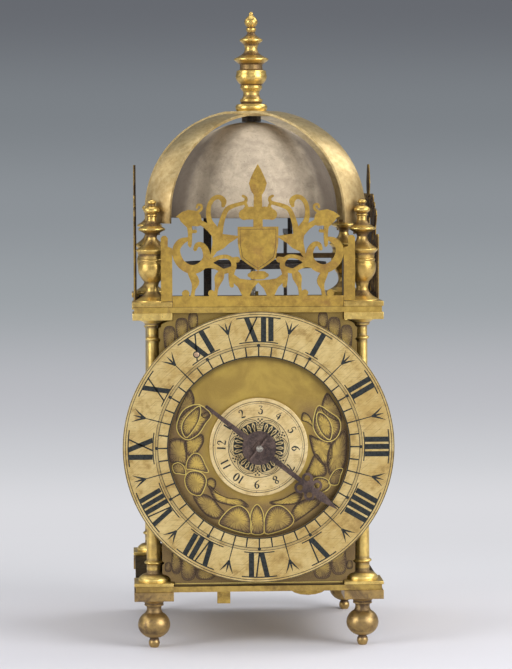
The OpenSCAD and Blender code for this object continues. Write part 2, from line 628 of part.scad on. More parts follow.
ring_foot_r = 2;
ring_tenon_r = 1.2;
ring_foot_angles = [-33.5, 33.5, 146.5, -146.5];
module ring_feet_places() for (a = ring_foot_angles)
    translate([ring_foot_circle_r*sin(a), 0, dial_z + ring_foot_circle_r*cos(a)]) children();

alarm_pipe_r = 5.6;
module dial_plate() color(old_brass) difference() {
    along_y(0, -dial_front, -dial_back, 0) case_plate_outline();
    rod(0, -dial_front - 1, -dial_back + 1, dial_z, alarm_pipe_r + 0.4);
    ring_feet_places() rod(0, -dial_front - 1, -dial_back + 1, 0, ring_tenon_r + 0.05);
}

module back_plate() color(old_brass) difference() {
    along_y(0, dial_back, dial_front, 0) case_plate_outline();
    rod(lever_x, dial_back - 1, dial_front + 1, lever_z, arbor_r + 0.6);
}

module chapter_ring() color(pale_brass) {
    difference() {
        rod(0, -ring_front, -ring_back, dial_z, ring_r);
        rod(0, -ring_front - 1, -ring_back + 1, dial_z, ring_bore_r);
    }
    ring_feet_places() {
        rod(0, -ring_back - 0.5, -dial_front, 0, ring_foot_r);
        rod(0, -dial_front - 0.5, -dial_back + 1.2, 0, ring_tenon_r);
    }
}

module ring_rivets() color(steel) ring_feet_places() difference() {
    rod(0, -dial_back, -dial_back + 1, 0, 2.4);
    rod(0, -dial_back - 1, -dial_back + 2, 0, ring_tenon_r + 0.02);
}

// Doors hang on pins in the plates, near their back edges
door_hinge_y = block_inner - 3;
module door(s) color(old_brass) {
    y0 = -block_inner + door_gap;
    y1 = block_inner - door_gap;
    z0 = pillar_z + door_gap;
    z1 = top_plate_z - door_gap;
    difference() {
        translate([s*door_x - door_t/2, y0, z0]) cube([door_t, y1 - y0, z1 - z0]);
        translate([s*door_x, door_hinge_y, z0 - 1]) cylinder(r = door_pin_r, h = z1 - z0 + 2, $fn = 24);
    }
    translate([s*door_x, door_hinge_y, bottom_plate_z + 0.4])
        cylinder(r = door_pin_r, h = top_plate_z - bottom_plate_z + plate_t - 0.8, $fn = 24);
    translate([s*(door_x + door_t/2 + 1.2) - 1.2, y0 + 8, (z0 + z1)/2]) rotate([0, 90, 0])
        cylinder(r = 2.2, h = 2.4, $fn = 24);
}
module left_door() door(-1);
module right_door() door(1);

// Movement bars
// Each arm of a bar runs from its middle to a little past a pivot
arm_w = 8;
arm_end = 5;
wide_arm_w = 14;
module arm(x, z, w = arm_w) translate([min(0, x - arm_end), z - w/2]) square([abs(x) + arm_end, w]);
module bar_strip() {
    translate([-bar_w/2, pillar_z]) square([bar_w, pillar_h]);
    translate([-tenon_w/2, top_plate_z - 1]) square([tenon_w, plate_t + 7]);
}
wedge_z = deck_z - 0.3;
wedge_h = 2.6;
module wedge_cut(y) translate([-1.6, y - bar_t, wedge_z]) cube([3.2, 2*bar_t, wedge_h]);

module front_bar() color(brass) {
    difference() {
        along_y(0, -bar_front, -bar_back, 0) difference() {
            union() {
                bar_strip();
                arm(second_x, second_z, 16);
                translate([-lug_x - tenon_w/2, pillar_z])
                    square([lug_x + half_moon_x + tenon_w/2 + half_moon_w/2, 6]);
                translate([-lug_x - tenon_w/2, bottom_plate_z - 10]) square([tenon_w, plate_t + 11]);
                translate([half_moon_x, bottom_plate_z]) polygon(concat([[half_moon_w/2, plate_t + 1]],
                    [for (i = [0:8]) [half_moon_w/2*cos(22.5*i), -5.4*sin(22.5*i)]],
                    [[-half_moon_w/2, plate_t + 1]]));
                arm(lift_x, lift_z);
                arm(lever_x, lever_z);
            }
            pivot_hole(0, great_z, arbor_r);
            pivot_hole(second_x, second_z);
            pivot_hole(0, crown_z0);
            pivot_hole(lift_x, lift_z, arbor_r);
            pivot_hole(lever_x, lever_z, arbor_r);
        }
        wedge_cut(-bar_pitch);
    }
    rod(0, -reach, -bar_front + 0.5, dial_z, dial_stud_r);
}
dial_stud_r = 2;

module middle_bar() color(brass) difference() {
    along_y(0, -bar_t/2, bar_t/2, 0) difference() {
        union() {
            bar_strip();
            translate([-tenon_w/2, bottom_plate_z - 4]) square([tenon_w, plate_t + 5]);
            for (x = [second_x, hoop_x]) arm(x, (second_z + hoop_z)/2, 17);
            arm(fly_x, fly_z, wide_arm_w);
            arm(hammer_x, hammer_z);
            arm(lock_x, lock_z);
        }
        pivot_hole(0, great_z);
        pivot_hole(second_x, second_z);
        pivot_hole(hoop_x, hoop_z);
        pivot_hole(0, warning_z);
        pivot_hole(fly_x, fly_z);
        pivot_hole(hammer_x, hammer_z);
        pivot_hole(lock_x, lock_z);
    }
    wedge_cut(0);
}

module back_bar() color(brass) {
    difference() {
        along_y(0, bar_back, bar_front, 0) difference() {
            union() {
                bar_strip();
                translate([-tenon_w/2, bottom_plate_z - 4]) square([tenon_w, plate_t + 5]);
                arm(hoop_x, hoop_z, wide_arm_w);
                arm(fly_x, fly_z, wide_arm_w);
                arm(hammer_x, hammer_z);
                arm(lift_x, lift_z);
                arm(lock_x, lock_z);
                arm(lever_x, lever_z);
            }
            pivot_hole(0, great_z, arbor_r);
            pivot_hole(hoop_x, hoop_z);
            pivot_hole(0, warning_z);
            pivot_hole(fly_x, fly_z);
            pivot_hole(hammer_x, hammer_z);
            pivot_hole(lift_x, lift_z);
            pivot_hole(lock_x, lock_z, arbor_r);
            pivot_hole(lever_x, lever_z, arbor_r);
        }
        wedge_cut(bar_pitch);
    }
    rod(0, bar_front - 0.5, bar_front + 6.5, count_z, dial_stud_r);
}

module bar_wedges() color(iron) for (y = [-bar_pitch, 0, bar_pitch])
    translate([-1.5, y, deck_z]) rotate([90, 0, 90]) linear_extrude(3)
        polygon([[-6, 0], [6, 0], [6, 1.6], [-6, 2.6]]);

// Potence: carries the crown wheel's back pivot and the verge's foot
potence_front = verge_y + 4.4;
module potence() color(brass) {
    foot_z = crown_z0 - crown_r - 10;
    difference() {
        union() {
            translate([-bar_w/2, -bar_t/2 - 2, foot_z - 2]) cube([bar_w, 2, crown_z0 + 8 - foot_z]);
            translate([-bar_w/2, -potence_front, crown_z0 - 6])
                cube([bar_w, potence_front - bar_t/2 - 1, 12]);
            translate([-4, -verge_y - 4, foot_z - 2]) cube([8, verge_y + 4 - bar_t/2 - 1, 4]);
        }
        translate([-bar_w/2 + 2, -potence_front + 2.2, crown_z0 - 7])
            cube([bar_w - 4, potence_front - 2.2 - bar_t/2 - 2, 14]);
        rod(0, -potence_front - 1, -potence_front + 3, crown_z0, pivot_r + pivot_gap);
        translate([0, -verge_y, foot_z - 3]) cylinder(r = verge_r + pivot_gap, h = 6, $fn = 32);
    }
}

verge_r = 1.5;
cock_z = deck_z + balance_lift + balance_t + 2.4;
cock_t = 3;
module balance_cock() color(brass) difference() {
    union() {
        translate([cock_x - 5, -verge_y - 9.5, deck_z]) cube([10, 19, cock_foot_t]);
        translate([cock_x - 1.5, -verge_y - 4, deck_z + cock_foot_t - 0.5])
            cube([3, 8, cock_z + cock_t - deck_z - cock_foot_t + 0.5]);
        translate([0, 0, cock_z]) linear_extrude(cock_t) polygon([
            [cock_x + 1.5, -verge_y - 4], [cock_x + 1.5, -verge_y + 4], [8, -verge_y + 5], [0, -verge_y + 6],
            [-5, -verge_y + 4], [-7, -verge_y], [-5, -verge_y - 4], [0, -verge_y - 6], [8, -verge_y - 5]]);
    }
    translate([0, -verge_y, cock_z - 1]) cylinder(r = verge_r + pivot_gap, h = cock_t + 2, $fn = 32);
    for (y = cock_screws) translate([cock_x, y, deck_z - 1])
        cylinder(r = screw_r + 0.05, h = 5, $fn = 24);
}

module balance_wheel() color(iron) translate([0, -verge_y, deck_z + balance_lift]) difference() {
    cylinder(r = balance_r, h = balance_t, $fn = 96);
    difference() {
        translate([0, 0, -1]) cylinder(r = balance_r - balance_rim_w, h = balance_t + 2, $fn = 96);
        translate([-balance_r, -3.5, -2]) cube([2*balance_r, 7, balance_t + 4]);
        translate([0, 0, -2]) cylinder(r = 7, h = balance_t + 4, $fn = 32);
    }
    translate([0, 0, -1]) cylinder(r = verge_r, h = balance_t + 2, $fn = 32);
}

pallet_r = 3.4;
module verge() color(steel) {
    foot_z = crown_z0 - crown_r - 10;
    translate([0, -verge_y, foot_z - 1.6])
        cylinder(r = verge_r, h = cock_z + cock_t - foot_z + 1.2, $fn = 32);
    for (s = [-1, 1]) translate([0, -verge_y, crown_z0 + s*(crown_r - 1) - 2.5]) rotate([0, 0, s*45 - 90])
        translate([0, -0.6, 0]) cube([pallet_r - 0.2, 1.2, 5]);
}

// Going train
report_y0 = bar_front + 2;
report_l = 5.4;
great_y = -50.5;
wheel_t = 2.5;
module going_great_wheel() {
    color(brass) along_y(0, great_y, great_y + wheel_t, great_z)
        wheel(great_teeth, great_m, second_dir, great_arbor_r, 9, 5, 4);
    color(steel) {
        along_y(0, -report_y0 - report_l, -report_y0, great_z)
            pinion(report_leaves, hour_m, -90 + 180/report_leaves + 180, arbor_r);
        rod(0, -report_y0 - report_l, -bar_back, great_z, arbor_r);
        difference() {
            rod(0, -bar_back + 0.2, -bar_t/2 - 0.2, great_z, great_arbor_r);
            rod(0, -bar_back - 1, -bar_back + 0.2, great_z, arbor_r);
        }
        rod(0, -bar_back - 0.1, -bar_back + 0.3, great_z, arbor_r);
        rod(0, -bar_t/2 - 0.3, -bar_t/2 + pivot_depth, great_z, pivot_r);
    }
    click(great_y + wheel_t, 1);
}
great_arbor_r = 2.2;
ratchet_r = 14;

// A click on a great wheel's spoke, just clear of the ratchet's teeth
module click(y, s) color(steel) along_y(0, min(y, y + s*1.6), max(y, y + s*1.6), great_z) rotate(45) polygon([
    [ratchet_r + 0.6, -1], [ratchet_r + 6, -3], [ratchet_r + 9, -2], [ratchet_r + 9, 1], [ratchet_r + 6, 2]]);

// A rope pulley with a ratchet; y is the middle of its groove
pulley_w = 13;
ratchet_t = 1.6;
module pulley(y, ratchet_y) {
    color(brass) translate([0, y, great_z]) rotate([90, 0, 0]) rotate_extrude($fn = 48) polygon([
        [great_arbor_r + pivot_gap, -pulley_w/2], [pulley_r, -pulley_w/2], [pulley_r, -pulley_w/2 + 1.6],
        [pulley_r - 5, -2.6], [pulley_r - 5, 2.6], [pulley_r, pulley_w/2 - 1.6], [pulley_r, pulley_w/2],
        [great_arbor_r + pivot_gap, pulley_w/2]]);
    color(steel) along_y(0, ratchet_y, ratchet_y + ratchet_t, great_z) difference() {
        polygon([for (k = [0:23]) each [polar(ratchet_r, 15*k), polar(ratchet_r - 2, 15*k + 2)]]);
        polygon(regular(12, (great_arbor_r + 0.3)/cos(15)));
    }
}
module going_pulley() pulley(going_pulley_y, going_pulley_y - pulley_w/2 - ratchet_t);

second_y = -29.5;
module second_wheel() {
    color(brass) along_y(second_x, second_y, second_y + 2, second_z)
        wheel(second_teeth, second_m, crown_dir, arbor_r, 6, 4, 3);
    color(steel) {
        along_y(second_x, great_y - 1.5, great_y + wheel_t + 1.5, second_z)
            pinion(second_leaves, great_m, second_dir + 180 + 180/second_leaves, arbor_r);
        arbor(second_x, -bar_back + 0.2, -bar_t/2 - 0.2, second_z, pivot_depth + 0.2, pivot_depth + 0.2);
    }
}

// Crown wheel: a hoop with raked teeth that face the verge
crown_tooth_h = 4;
crown_hoop_h = 2;
crown_tip_y = -verge_y - pallet_r - 0.4;
module crown_hoop(r, wall, base_h, tooth_h, teeth) difference() {
    cylinder(r = r, h = base_h + tooth_h, $fn = 64);
    translate([0, 0, -1]) cylinder(r = r - wall, h = base_h + tooth_h + 2, $fn = 64);
    for (k = [0:teeth - 1]) rotate([0, 0, 360*k/teeth]) translate([r - wall - 1, 0, base_h])
        rotate([90, 0, 90]) linear_extrude(wall + 2)
            polygon([[-r*PI/teeth + 0.5, 0], [r*PI/teeth - 0.8, 0],
                [r*PI/teeth - 0.3, tooth_h + 1], [-r*PI/teeth - 1.2 + 0.5*r*PI/teeth, tooth_h + 1]]);
}
module crown_wheel() {
    base = -crown_tip_y + crown_tooth_h + crown_hoop_h;
    color(brass) translate([0, -base, crown_z0]) rotate([-90, 0, 0])
        crown_hoop(crown_r, 1.6, crown_hoop_h, crown_tooth_h, crown_teeth);
    color(brass) along_y(0, -base - 1.5, -base, crown_z0) difference() {
        circle(r = crown_r, $fn = 64);
        crossings(6, crown_r - 3, 3, 4, 45);
        circle(r = arbor_r, $fn = 32);
    }
    color(steel) {
        along_y(0, second_y - 1.5, second_y + 3.5, crown_z0)
            pinion(crown_leaves, second_m, crown_dir + 180 + 180/crown_leaves, arbor_r);
        arbor(0, -bar_back + 0.2, -potence_front - 0.2, crown_z0, pivot_depth + 0.2, 2.1);
    }
}

// Motion work, hand and alarm disc
hour_wheel_y = -report_y0 - 4;
pipe_r = 4.3;
square_w = 6;
module hour_wheel() color(brass) {
    difference() {
        union() {
            along_y(0, hour_wheel_y, hour_wheel_y + 2, dial_z) difference() {
                polygon(wheel_points(hour_teeth, hour_m, -90));
                crossings(7.5, hour_teeth*hour_m/2 - 4, 3, 4, 45);
                circle(r = pipe_r - 1, $fn = 32);
            }
            rod(0, -hand_back, hour_wheel_y + 1, dial_z, pipe_r);
            along_y(0, -pipe_end, -hand_back + 1, dial_z) rotate(90 - hand_angle)
                square([square_w, square_w], center = true);
            along_y(0, hour_wheel_y + 1.5, hour_wheel_y + 3.6, dial_z) polygon([for (k = [0:11]) each
                [polar(18, 30*k), polar(14, 30*k + 8), polar(14, 30*k + 22)]]);
        }
        rod(0, -pipe_end - 1, hour_wheel_y + 5, dial_z, dial_stud_r + pivot_gap);
    }
}

// The hand is drawn pointing along +X
// The cross of four pierced loops stands before the arrow head, its loops on the diagonals
hand_loop_r = 3.3;
hand_loop_off = 5.2;
hand_loop_hole_r = 1.8;
module hand_outline() {
    cross_x = hand_tip - 23;
    head_x = hand_tip - 14.5;
    difference() {
        offset(delta = 0.02) {
            circle(r = hand_boss_r, $fn = 48);
            polygon([[0, -1.9], [cross_x, -1.2], [cross_x, 1.2], [0, 1.9]]);
            translate([cross_x, 0]) {
                for (a = [45:90:315]) rotate(a) translate([hand_loop_off, 0])
                    circle(r = hand_loop_r, $fn = 24);
                for (a = [0:90:270]) rotate(a) translate([3.4, 0]) circle(r = 1.4, $fn = 16);
                circle(r = 2.8, $fn = 20);
            }
            polygon([[cross_x, -1.2], [head_x - 2.4, -1.3], [head_x, -2.6], [head_x + 3.4, -2.3],
                [hand_tip, 0], [head_x + 3.4, 2.3], [head_x, 2.6], [head_x - 2.4, 1.3], [cross_x, 1.2]]);
            polygon([[0, 2], [-hand_tail, 0.9], [-hand_tail - 0.6, 0], [-hand_tail, -0.9], [0, -2]]);
        }
        translate([cross_x, 0]) for (a = [45:90:315]) rotate(a) translate([hand_loop_off, 0])
            circle(r = hand_loop_hole_r, $fn = 20);
        square([square_w + 0.1, square_w + 0.1], center = true);
    }
}
module hour_hand() color(iron) along_y(0, -hand_front, -hand_back, dial_z)
    rotate(90 - hand_angle) hand_outline();

// A square collet in line with the hand, and the pin that crosses the stud in front of it
collet_w = 6.2;
collet_pin_r = 0.9;
collet_pin_l = 17;
module hand_collet() color(steel) {
    along_y(0, -collet_front, -collet_back, dial_z) rotate(90 - hand_angle) difference() {
        square([collet_w, collet_w], center = true);
        circle(r = dial_stud_r + 0.03, $fn = 32);
    }
    translate([0, -collet_front - collet_pin_r - 0.1, dial_z]) rotate([0, hand_angle - 90, 0]) difference() {
        translate([0, 0, -collet_pin_l/2]) cylinder(r = collet_pin_r, h = collet_pin_l, $fn = 20);
        rotate([90, 0, 0]) translate([0, 0, -2]) cylinder(r = dial_stud_r + 0.02, h = 4, $fn = 32);
    }
}

module alarm_disc() color(pale_brass) difference() {
    union() {
        rod(0, -disc_back - alarm_disc_t, -disc_back, dial_z, alarm_disc_r);
        rod(0, -disc_back - 0.5, -dial_back + cam_gap + cam_t, dial_z, alarm_pipe_r);
    }
    rod(0, -disc_back - alarm_disc_t - 1, -dial_back + 5, dial_z, pipe_r + pivot_gap);
}

cam_gap = 0.7;
cam_t = 1.6;
cam_r = 9.4;
module alarm_cam() color(steel)
    along_y(0, -dial_back + cam_gap, -dial_back + cam_gap + cam_t, dial_z) difference() {
        polygon(concat([for (a = [20:20:340]) polar(cam_r, a)], [[cam_r - 1.8, 0]]));
        circle(r = alarm_pipe_r, $fn = 32);
    }

// Striking train
strike_y = 48;
module strike_great_wheel() {
    color(brass) along_y(0, strike_y, strike_y + wheel_t, great_z)
        wheel(great_teeth, strike_m, hoop_dir, great_arbor_r, 9, 9, 4);
    color(steel) {
        for (k = [0:lifting_pins - 1]) rod(28*cos(360*k/lifting_pins), strike_y - 4, strike_y,
            great_z + 28*sin(360*k/lifting_pins), 1.3);
        along_y(0, bar_front + 0.4, bar_front + 2.3, great_z)
            pinion(strike_leaves, count_m, 90 + 180/strike_leaves, arbor_r);
        rod(0, bar_back - 0.4, bar_front + 2.3, great_z, arbor_r);
        rod(0, bar_t/2 + 0.2, bar_back - 0.2, great_z, great_arbor_r);
        rod(0, bar_t/2 - pivot_depth, bar_t/2 + 0.4, great_z, pivot_r);
    }
    click(strike_y, -1);
}
strike_ratchet_y = strike_y - 0.9 - ratchet_t;
module strike_pulley() {
    pulley(strike_pulley_y, strike_ratchet_y);
    color(brass) difference() {
        rod(0, strike_pulley_y + pulley_w/2, strike_ratchet_y, great_z, 5);
        rod(0, strike_pulley_y, strike_ratchet_y + 1, great_z, great_arbor_r + pivot_gap);
    }
}

hoop_y = 33;
hoop_out_r = 25.4;
module hoop_wheel() {
    color(brass) {
        along_y(hoop_x, hoop_y, hoop_y + 2, hoop_z) wheel(hoop_teeth, hoop_m, warning_dir, arbor_r, 6, 4, 3);
        translate([hoop_x, hoop_y + 7, hoop_z]) rotate([90, 0, 0]) difference() {
            cylinder(r = hoop_out_r, h = 5, $fn = 64);
            translate([0, 0, -1]) cylinder(r = hoop_out_r - 1.4, h = 7, $fn = 64);
            translate([20, -4, -1]) cube([8, 8, 7]);
        }
    }
    color(steel) {
        along_y(hoop_x, strike_y - 1.5, strike_y + wheel_t + 1.5, hoop_z)
            pinion(strike_leaves, strike_m, hoop_dir + 180 + 180/strike_leaves, arbor_r);
        arbor(hoop_x, bar_t/2 + 0.2, bar_back - 0.2, hoop_z, pivot_depth + 0.2, pivot_depth + 0.2);
    }
}

warning_y = 6;
module warning_wheel() {
    color(brass) along_y(0, warning_y, warning_y + 2, warning_z)
        wheel(warning_teeth, warning_m, fly_dir, arbor_r, 5, 3.5, 2.6);
    color(steel) {
        rod(0, warning_y + 2, warning_y + 5, warning_z + 18.5, 1);
        along_y(0, hoop_y - 1.5, hoop_y + 3.5, warning_z)
            pinion(strike_leaves, hoop_m, warning_dir + 180 + 180/strike_leaves, arbor_r);
        arbor(0, bar_t/2 + 0.2, bar_back - 0.2, warning_z, pivot_depth + 0.2, pivot_depth + 0.2);
    }
}

module fly() {
    color(old_brass) along_y(fly_x, warning_y + 8, bar_back - 5, fly_z) difference() {
        polygon([[-15, -0.4], [-3, -0.4], [-3, -2.6], [3, -2.6], [3, -0.4], [15, -0.4],
            [15, 0.4], [3, 0.4], [3, 2.6], [-3, 2.6], [-3, 0.4], [-15, 0.4]]);
        polygon(regular(12, (arbor_r + 0.02)/cos(15)));
    }
    color(steel) {
        along_y(fly_x, warning_y - 1.5, warning_y + 3.5, fly_z)
            pinion(fly_leaves, warning_m, fly_dir + 180 + 180/fly_leaves, arbor_r);
        arbor(fly_x, bar_t/2 + 0.2, bar_back - 0.2, fly_z, pivot_depth + 0.2, pivot_depth + 0.2);
    }
}

// Count wheel: a toothed wheel with a disc whose slots stand after 1, 2, 3 and up to 12 blows
count_disc_r = 35;
function blows_before(hour) = hour*(hour + 1)/2;
module count_wheel() color(brass) {
    y = bar_front + 0.6;
    along_y(0, y, y + 2, count_z) difference() {
        polygon(wheel_points(count_teeth, count_m, -90));
        crossings(7, 25, 4, 4, 45);
        circle(r = dial_stud_r + pivot_gap, $fn = 32);
    }
    along_y(0, y + 2, y + 3.6, count_z) difference() {
        circle(r = count_disc_r, $fn = 96);
        for (h = [0:11]) rotate(-360*blows_before(h)/78) translate([count_disc_r - 3.5, -1.5]) square([5, 3]);
        crossings(7, 25, 4, 4, 45);
        circle(r = dial_stud_r + pivot_gap, $fn = 32);
    }
}

// Hammer, its spring and the detents
stem_w = 5;
lever_w = 5;
nose_gap = 1.2;
head_z = rim_z + 5;
module lever_arm(x0, z0, x1, z1, w, y0, y1) along_y(0, y0, y1, 0) {
    d = [x1 - x0, z1 - z0];
    n = [-d[1], d[0]]/norm(d)*w/2;
    polygon([[x0, z0] + n, [x0, z0] - n, [x1, z1] - n*0.6, [x1, z1] + n*0.6]);
}
module hammer() color(iron) {
    arbor(hammer_x, bar_t/2 + 0.2, bar_back - 0.2, hammer_z, pivot_depth + 0.2, pivot_depth + 0.2);
    translate([hammer_x - stem_w/2, hammer_y - 1.5, hammer_z]) cube([stem_w, 3, head_z - hammer_z]);
    translate([-hammer_reach, hammer_y, head_z]) rotate([0, 90, 0])
        cylinder(r = hammer_head_r, h = 9, $fn = 32);
    lever_arm(hammer_x, hammer_z, -19.2, great_z + 24.2, lever_w, strike_y - 3.2, strike_y - 1);
}

spring_foot_x = -46;
module hammer_spring() color(steel) translate([0, hammer_y + 1.5, 0]) difference() {
    rotate([90, 0, 0]) linear_extrude(3) polygon([
        [spring_foot_x - 5, pillar_z], [spring_foot_x + 6, pillar_z], [spring_foot_x + 6, hammer_z - 20],
        [hammer_x - stem_w/2 - 0.5, hammer_z + 26], [hammer_x - stem_w/2 - 1.4, hammer_z + 26],
        [spring_foot_x + 5, hammer_z - 20], [spring_foot_x + 5, pillar_z + 1.5],
        [spring_foot_x - 5, pillar_z + 1.5]]);
    translate([spring_foot_x, -1.5, pillar_z - 1]) cylinder(r = screw_r + 0.05, h = 5, $fn = 24);
}

module lifting_detent() color(iron) {
    star_y = hour_wheel_y + 2;
    rod(lift_x, star_y, bar_back - 0.2, lift_z, arbor_r);
    rod(lift_x, bar_back - 0.4, bar_back + bar_t - 0.4, lift_z, pivot_r);
    lever_arm(lift_x, lift_z, 17.6, dial_z - 7.2, lever_w, star_y + 0.3, star_y + 1.6);
    lever_arm(lift_x, lift_z, 21, warning_z - 16, lever_w - 0.6, warning_y + 3, warning_y + 5);
}

module locking_detent() color(iron) {
    rod(lock_x, bar_t/2 + 0.2, bar_front + 4.2, lock_z, arbor_r);
    rod(lock_x, bar_t/2 - pivot_depth, bar_t/2 + 0.4, lock_z, pivot_r);
    hoop_nose = polar(hoop_out_r + nose_gap, 15.7);
    count_nose = polar(count_disc_r + 0.8, 14.2);
    lever_arm(lock_x, lock_z, hoop_x + hoop_nose[0], hoop_z + hoop_nose[1], lever_w,
        hoop_y + 2.6, hoop_y + 5);
    lever_arm(lock_x, lock_z, count_nose[0], count_z + count_nose[1], lever_w,
        bar_front + 2.6, bar_front + 4.2);
}

// Alarm work behind the back plate
module alarm_crown_wheel() {
    base = alarm_tooth_y + 2.5;
    color(brass) difference() {
        union() {
            translate([alarm_x, base, alarm_z]) rotate([90, 0, 0])
                crown_hoop(alarm_crown_r, 1.4, 0.8, 1.7, 15);
            rod(alarm_x, base, base + 1, alarm_z, alarm_crown_r);
            translate([alarm_x, base + 1, alarm_z]) rotate([-90, 0, 0]) rotate_extrude($fn = 48)
                polygon([[0, 0], [11, 0], [11, 0.4], [9.4, 0.9], [9.4, 1.1], [11, 1.6], [11, 2], [0, 2]]);
        }
        rod(alarm_x, base - 4, base + 4, alarm_z, dial_stud_r + pivot_gap);
    }
}

module alarm_cock() color(brass) {
    outer = reach;
    inner = alarm_tooth_y + 5.7;
    translate([alarm_x - 21, inner, alarm_z - 4]) cube([42, outer - inner, 8]);
    for (s = [-1, 1]) translate([alarm_x + s*19.5 - 1.5, dial_front, alarm_z - 4])
        cube([3, inner - dial_front + 0.5, 8]);
    rod(alarm_x, alarm_staff_y + alarm_staff_r + 0.8, inner + 0.5, alarm_z, dial_stud_r);
    for (s = [-1, 1]) difference() {
        translate([alarm_x - 4, dial_front, alarm_z + s*25 - 1.5])
            cube([8, alarm_staff_y - dial_front + 3, 3]);
        translate([alarm_x, alarm_staff_y, alarm_z + s*25 - 3])
            cylinder(r = alarm_staff_r + pivot_gap, h = 6, $fn = 24);
    }
}

module alarm_verge() color(iron) translate([alarm_x, alarm_staff_y, 0]) {
    arm_z = rim_z - 12;
    arm_l = norm(alarm_reach);
    translate([0, 0, alarm_z - 26.5]) cylinder(r = alarm_staff_r, h = arm_z + 3 - alarm_z + 26.5, $fn = 24);
    for (s = [-1, 1]) translate([0, 0, alarm_z + s*(alarm_crown_r - 0.8) - 2]) rotate([0, 0, s*45 + 90])
        translate([0, -0.5, 0]) cube([alarm_pallet_r - 0.2, 1, 4]);
    rotate([0, 0, atan2(alarm_reach[1], alarm_reach[0])]) {
        translate([-2, -1.5, arm_z]) cube([arm_l + 3.5, 3, 3]);
        translate([arm_l, 0, arm_z + 1]) cylinder(r = 1.5, h = head_z - arm_z - 1, $fn = 24);
        translate([arm_l, 0, head_z - 3]) cylinder(r = alarm_head_r, h = 6, $fn = 32);
    }
}

module alarm_lever() color(iron) {
    front = -dial_back + cam_gap + 0.2;
    rod(lever_x, front, dial_front + 1.4, lever_z, arbor_r);
    nose = polar(cam_r + nose_gap, 45.8);
    lever_arm(lever_x, lever_z, nose[0], dial_z + nose[1], lever_w, front, front + 1.2);
    lever_arm(lever_x, lever_z, alarm_x + 4, lever_z - 1, 4, dial_front + 1.2, dial_front + 2.6);
}

bottom_plate();
top_plate();
pillar(-1, -1);  // front_left_pillar
pillar(1, -1);  // front_right_pillar
pillar(-1, 1);  // rear_left_pillar
pillar(1, 1);  // rear_right_pillar
foot(-1, -1);  // front_left_foot
foot(1, -1);  // front_right_foot
foot(-1, 1);  // rear_left_foot
foot(1, 1);  // rear_right_foot
corner_finial(-1, -1);  // front_left_finial
corner_finial(1, -1);  // front_right_finial
corner_finial(-1, 1);  // rear_left_finial
corner_finial(1, 1);  // rear_right_finial
fret(0);  // front_fret
fret(1);  // left_fret
fret(2);  // right_fret
fret_screws();
bell();
lower_strap();
upper_strap();
top_finial();
bell_nut();
dial_plate();
chapter_ring();
ring_rivets();
back_plate();
left_door();
right_door();
front_bar();
middle_bar();
back_bar();
bar_wedges();
potence();
balance_cock();
balance_wheel();
verge();
going_great_wheel();
going_pulley();
second_wheel();
crown_wheel();
hour_wheel();
hour_hand();
hand_collet();
alarm_disc();
alarm_cam();
strike_great_wheel();
strike_pulley();
hoop_wheel();
warning_wheel();
fly();
count_wheel();
hammer();
hammer_spring();
lifting_detent();
locking_detent();
alarm_crown_wheel();
alarm_verge();
alarm_cock();
alarm_lever();
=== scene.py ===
import math

import bmesh
import bpy
from mathutils import Matrix, Vector


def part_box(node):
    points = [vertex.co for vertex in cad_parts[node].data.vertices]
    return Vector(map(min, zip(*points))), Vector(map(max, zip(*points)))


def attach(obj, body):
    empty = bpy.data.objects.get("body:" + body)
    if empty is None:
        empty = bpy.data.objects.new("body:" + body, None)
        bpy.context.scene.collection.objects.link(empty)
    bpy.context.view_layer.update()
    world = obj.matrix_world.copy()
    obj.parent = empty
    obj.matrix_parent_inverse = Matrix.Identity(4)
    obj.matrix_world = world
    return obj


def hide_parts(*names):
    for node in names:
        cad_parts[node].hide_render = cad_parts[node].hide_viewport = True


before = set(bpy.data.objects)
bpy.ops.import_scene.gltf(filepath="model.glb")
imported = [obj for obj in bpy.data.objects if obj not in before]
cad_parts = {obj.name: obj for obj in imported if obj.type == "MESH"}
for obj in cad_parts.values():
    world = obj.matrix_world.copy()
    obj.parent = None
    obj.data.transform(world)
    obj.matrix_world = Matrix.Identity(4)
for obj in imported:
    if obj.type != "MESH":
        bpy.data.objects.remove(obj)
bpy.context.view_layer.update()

# Pieces are modelled in millimetres and brought to metres when they are finished.
MM = 0.001


def end_of(node, axis, side):
    """Where a CAD node ends, in millimetres: axis 0, 1 or 2, side 0 for its low and 1 for its high end."""
    return round(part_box(node)[side][axis] / MM, 3)


def middle_of(node, axis):
    return (end_of(node, axis, 0) + end_of(node, axis, 1)) / 2


CORNER = middle_of("rear_right_foot", 0)
BOTTOM_PLATE = end_of("bottom_plate", 2, 0)
PILLAR_FOOT = end_of("bottom_plate", 2, 1)
TOP_PLATE = end_of("top_plate", 2, 0)
DECK = end_of("top_plate", 2, 1)
RIM = end_of("bell", 2, 0)
BELL_HEIGHT = end_of("bell", 2, 1) - RIM
BELL_RADIUS = end_of("bell", 0, 1)
FINIAL_FOOT = end_of("upper_strap", 2, 1)
DIAL = middle_of("alarm_disc", 2)
RING_FACE = end_of("chapter_ring", 1, 0)
DISC_FACE = end_of("alarm_disc", 1, 0)
DIAL_FACE = end_of("dial_plate", 1, 0)
FRET_FACE = end_of("front_fret", 1, 0)
STUD_TIP = end_of("front_bar", 1, 0)
STRAP_WIDTH = 20
SQUARE = 24  # The side of the plinths and caps at the corners.
CORNERS = {"front_left": (-1, -1), "front_right": (1, -1), "rear_left": (-1, 1), "rear_right": (1, 1)}
# Merging distances are in millimetres, and the other two are angles in degrees.
MERGE = 1e-4
CAD_MERGE = 0.002
FLAT_ANGLE = 0.8
BEVEL_ANGLE = 34


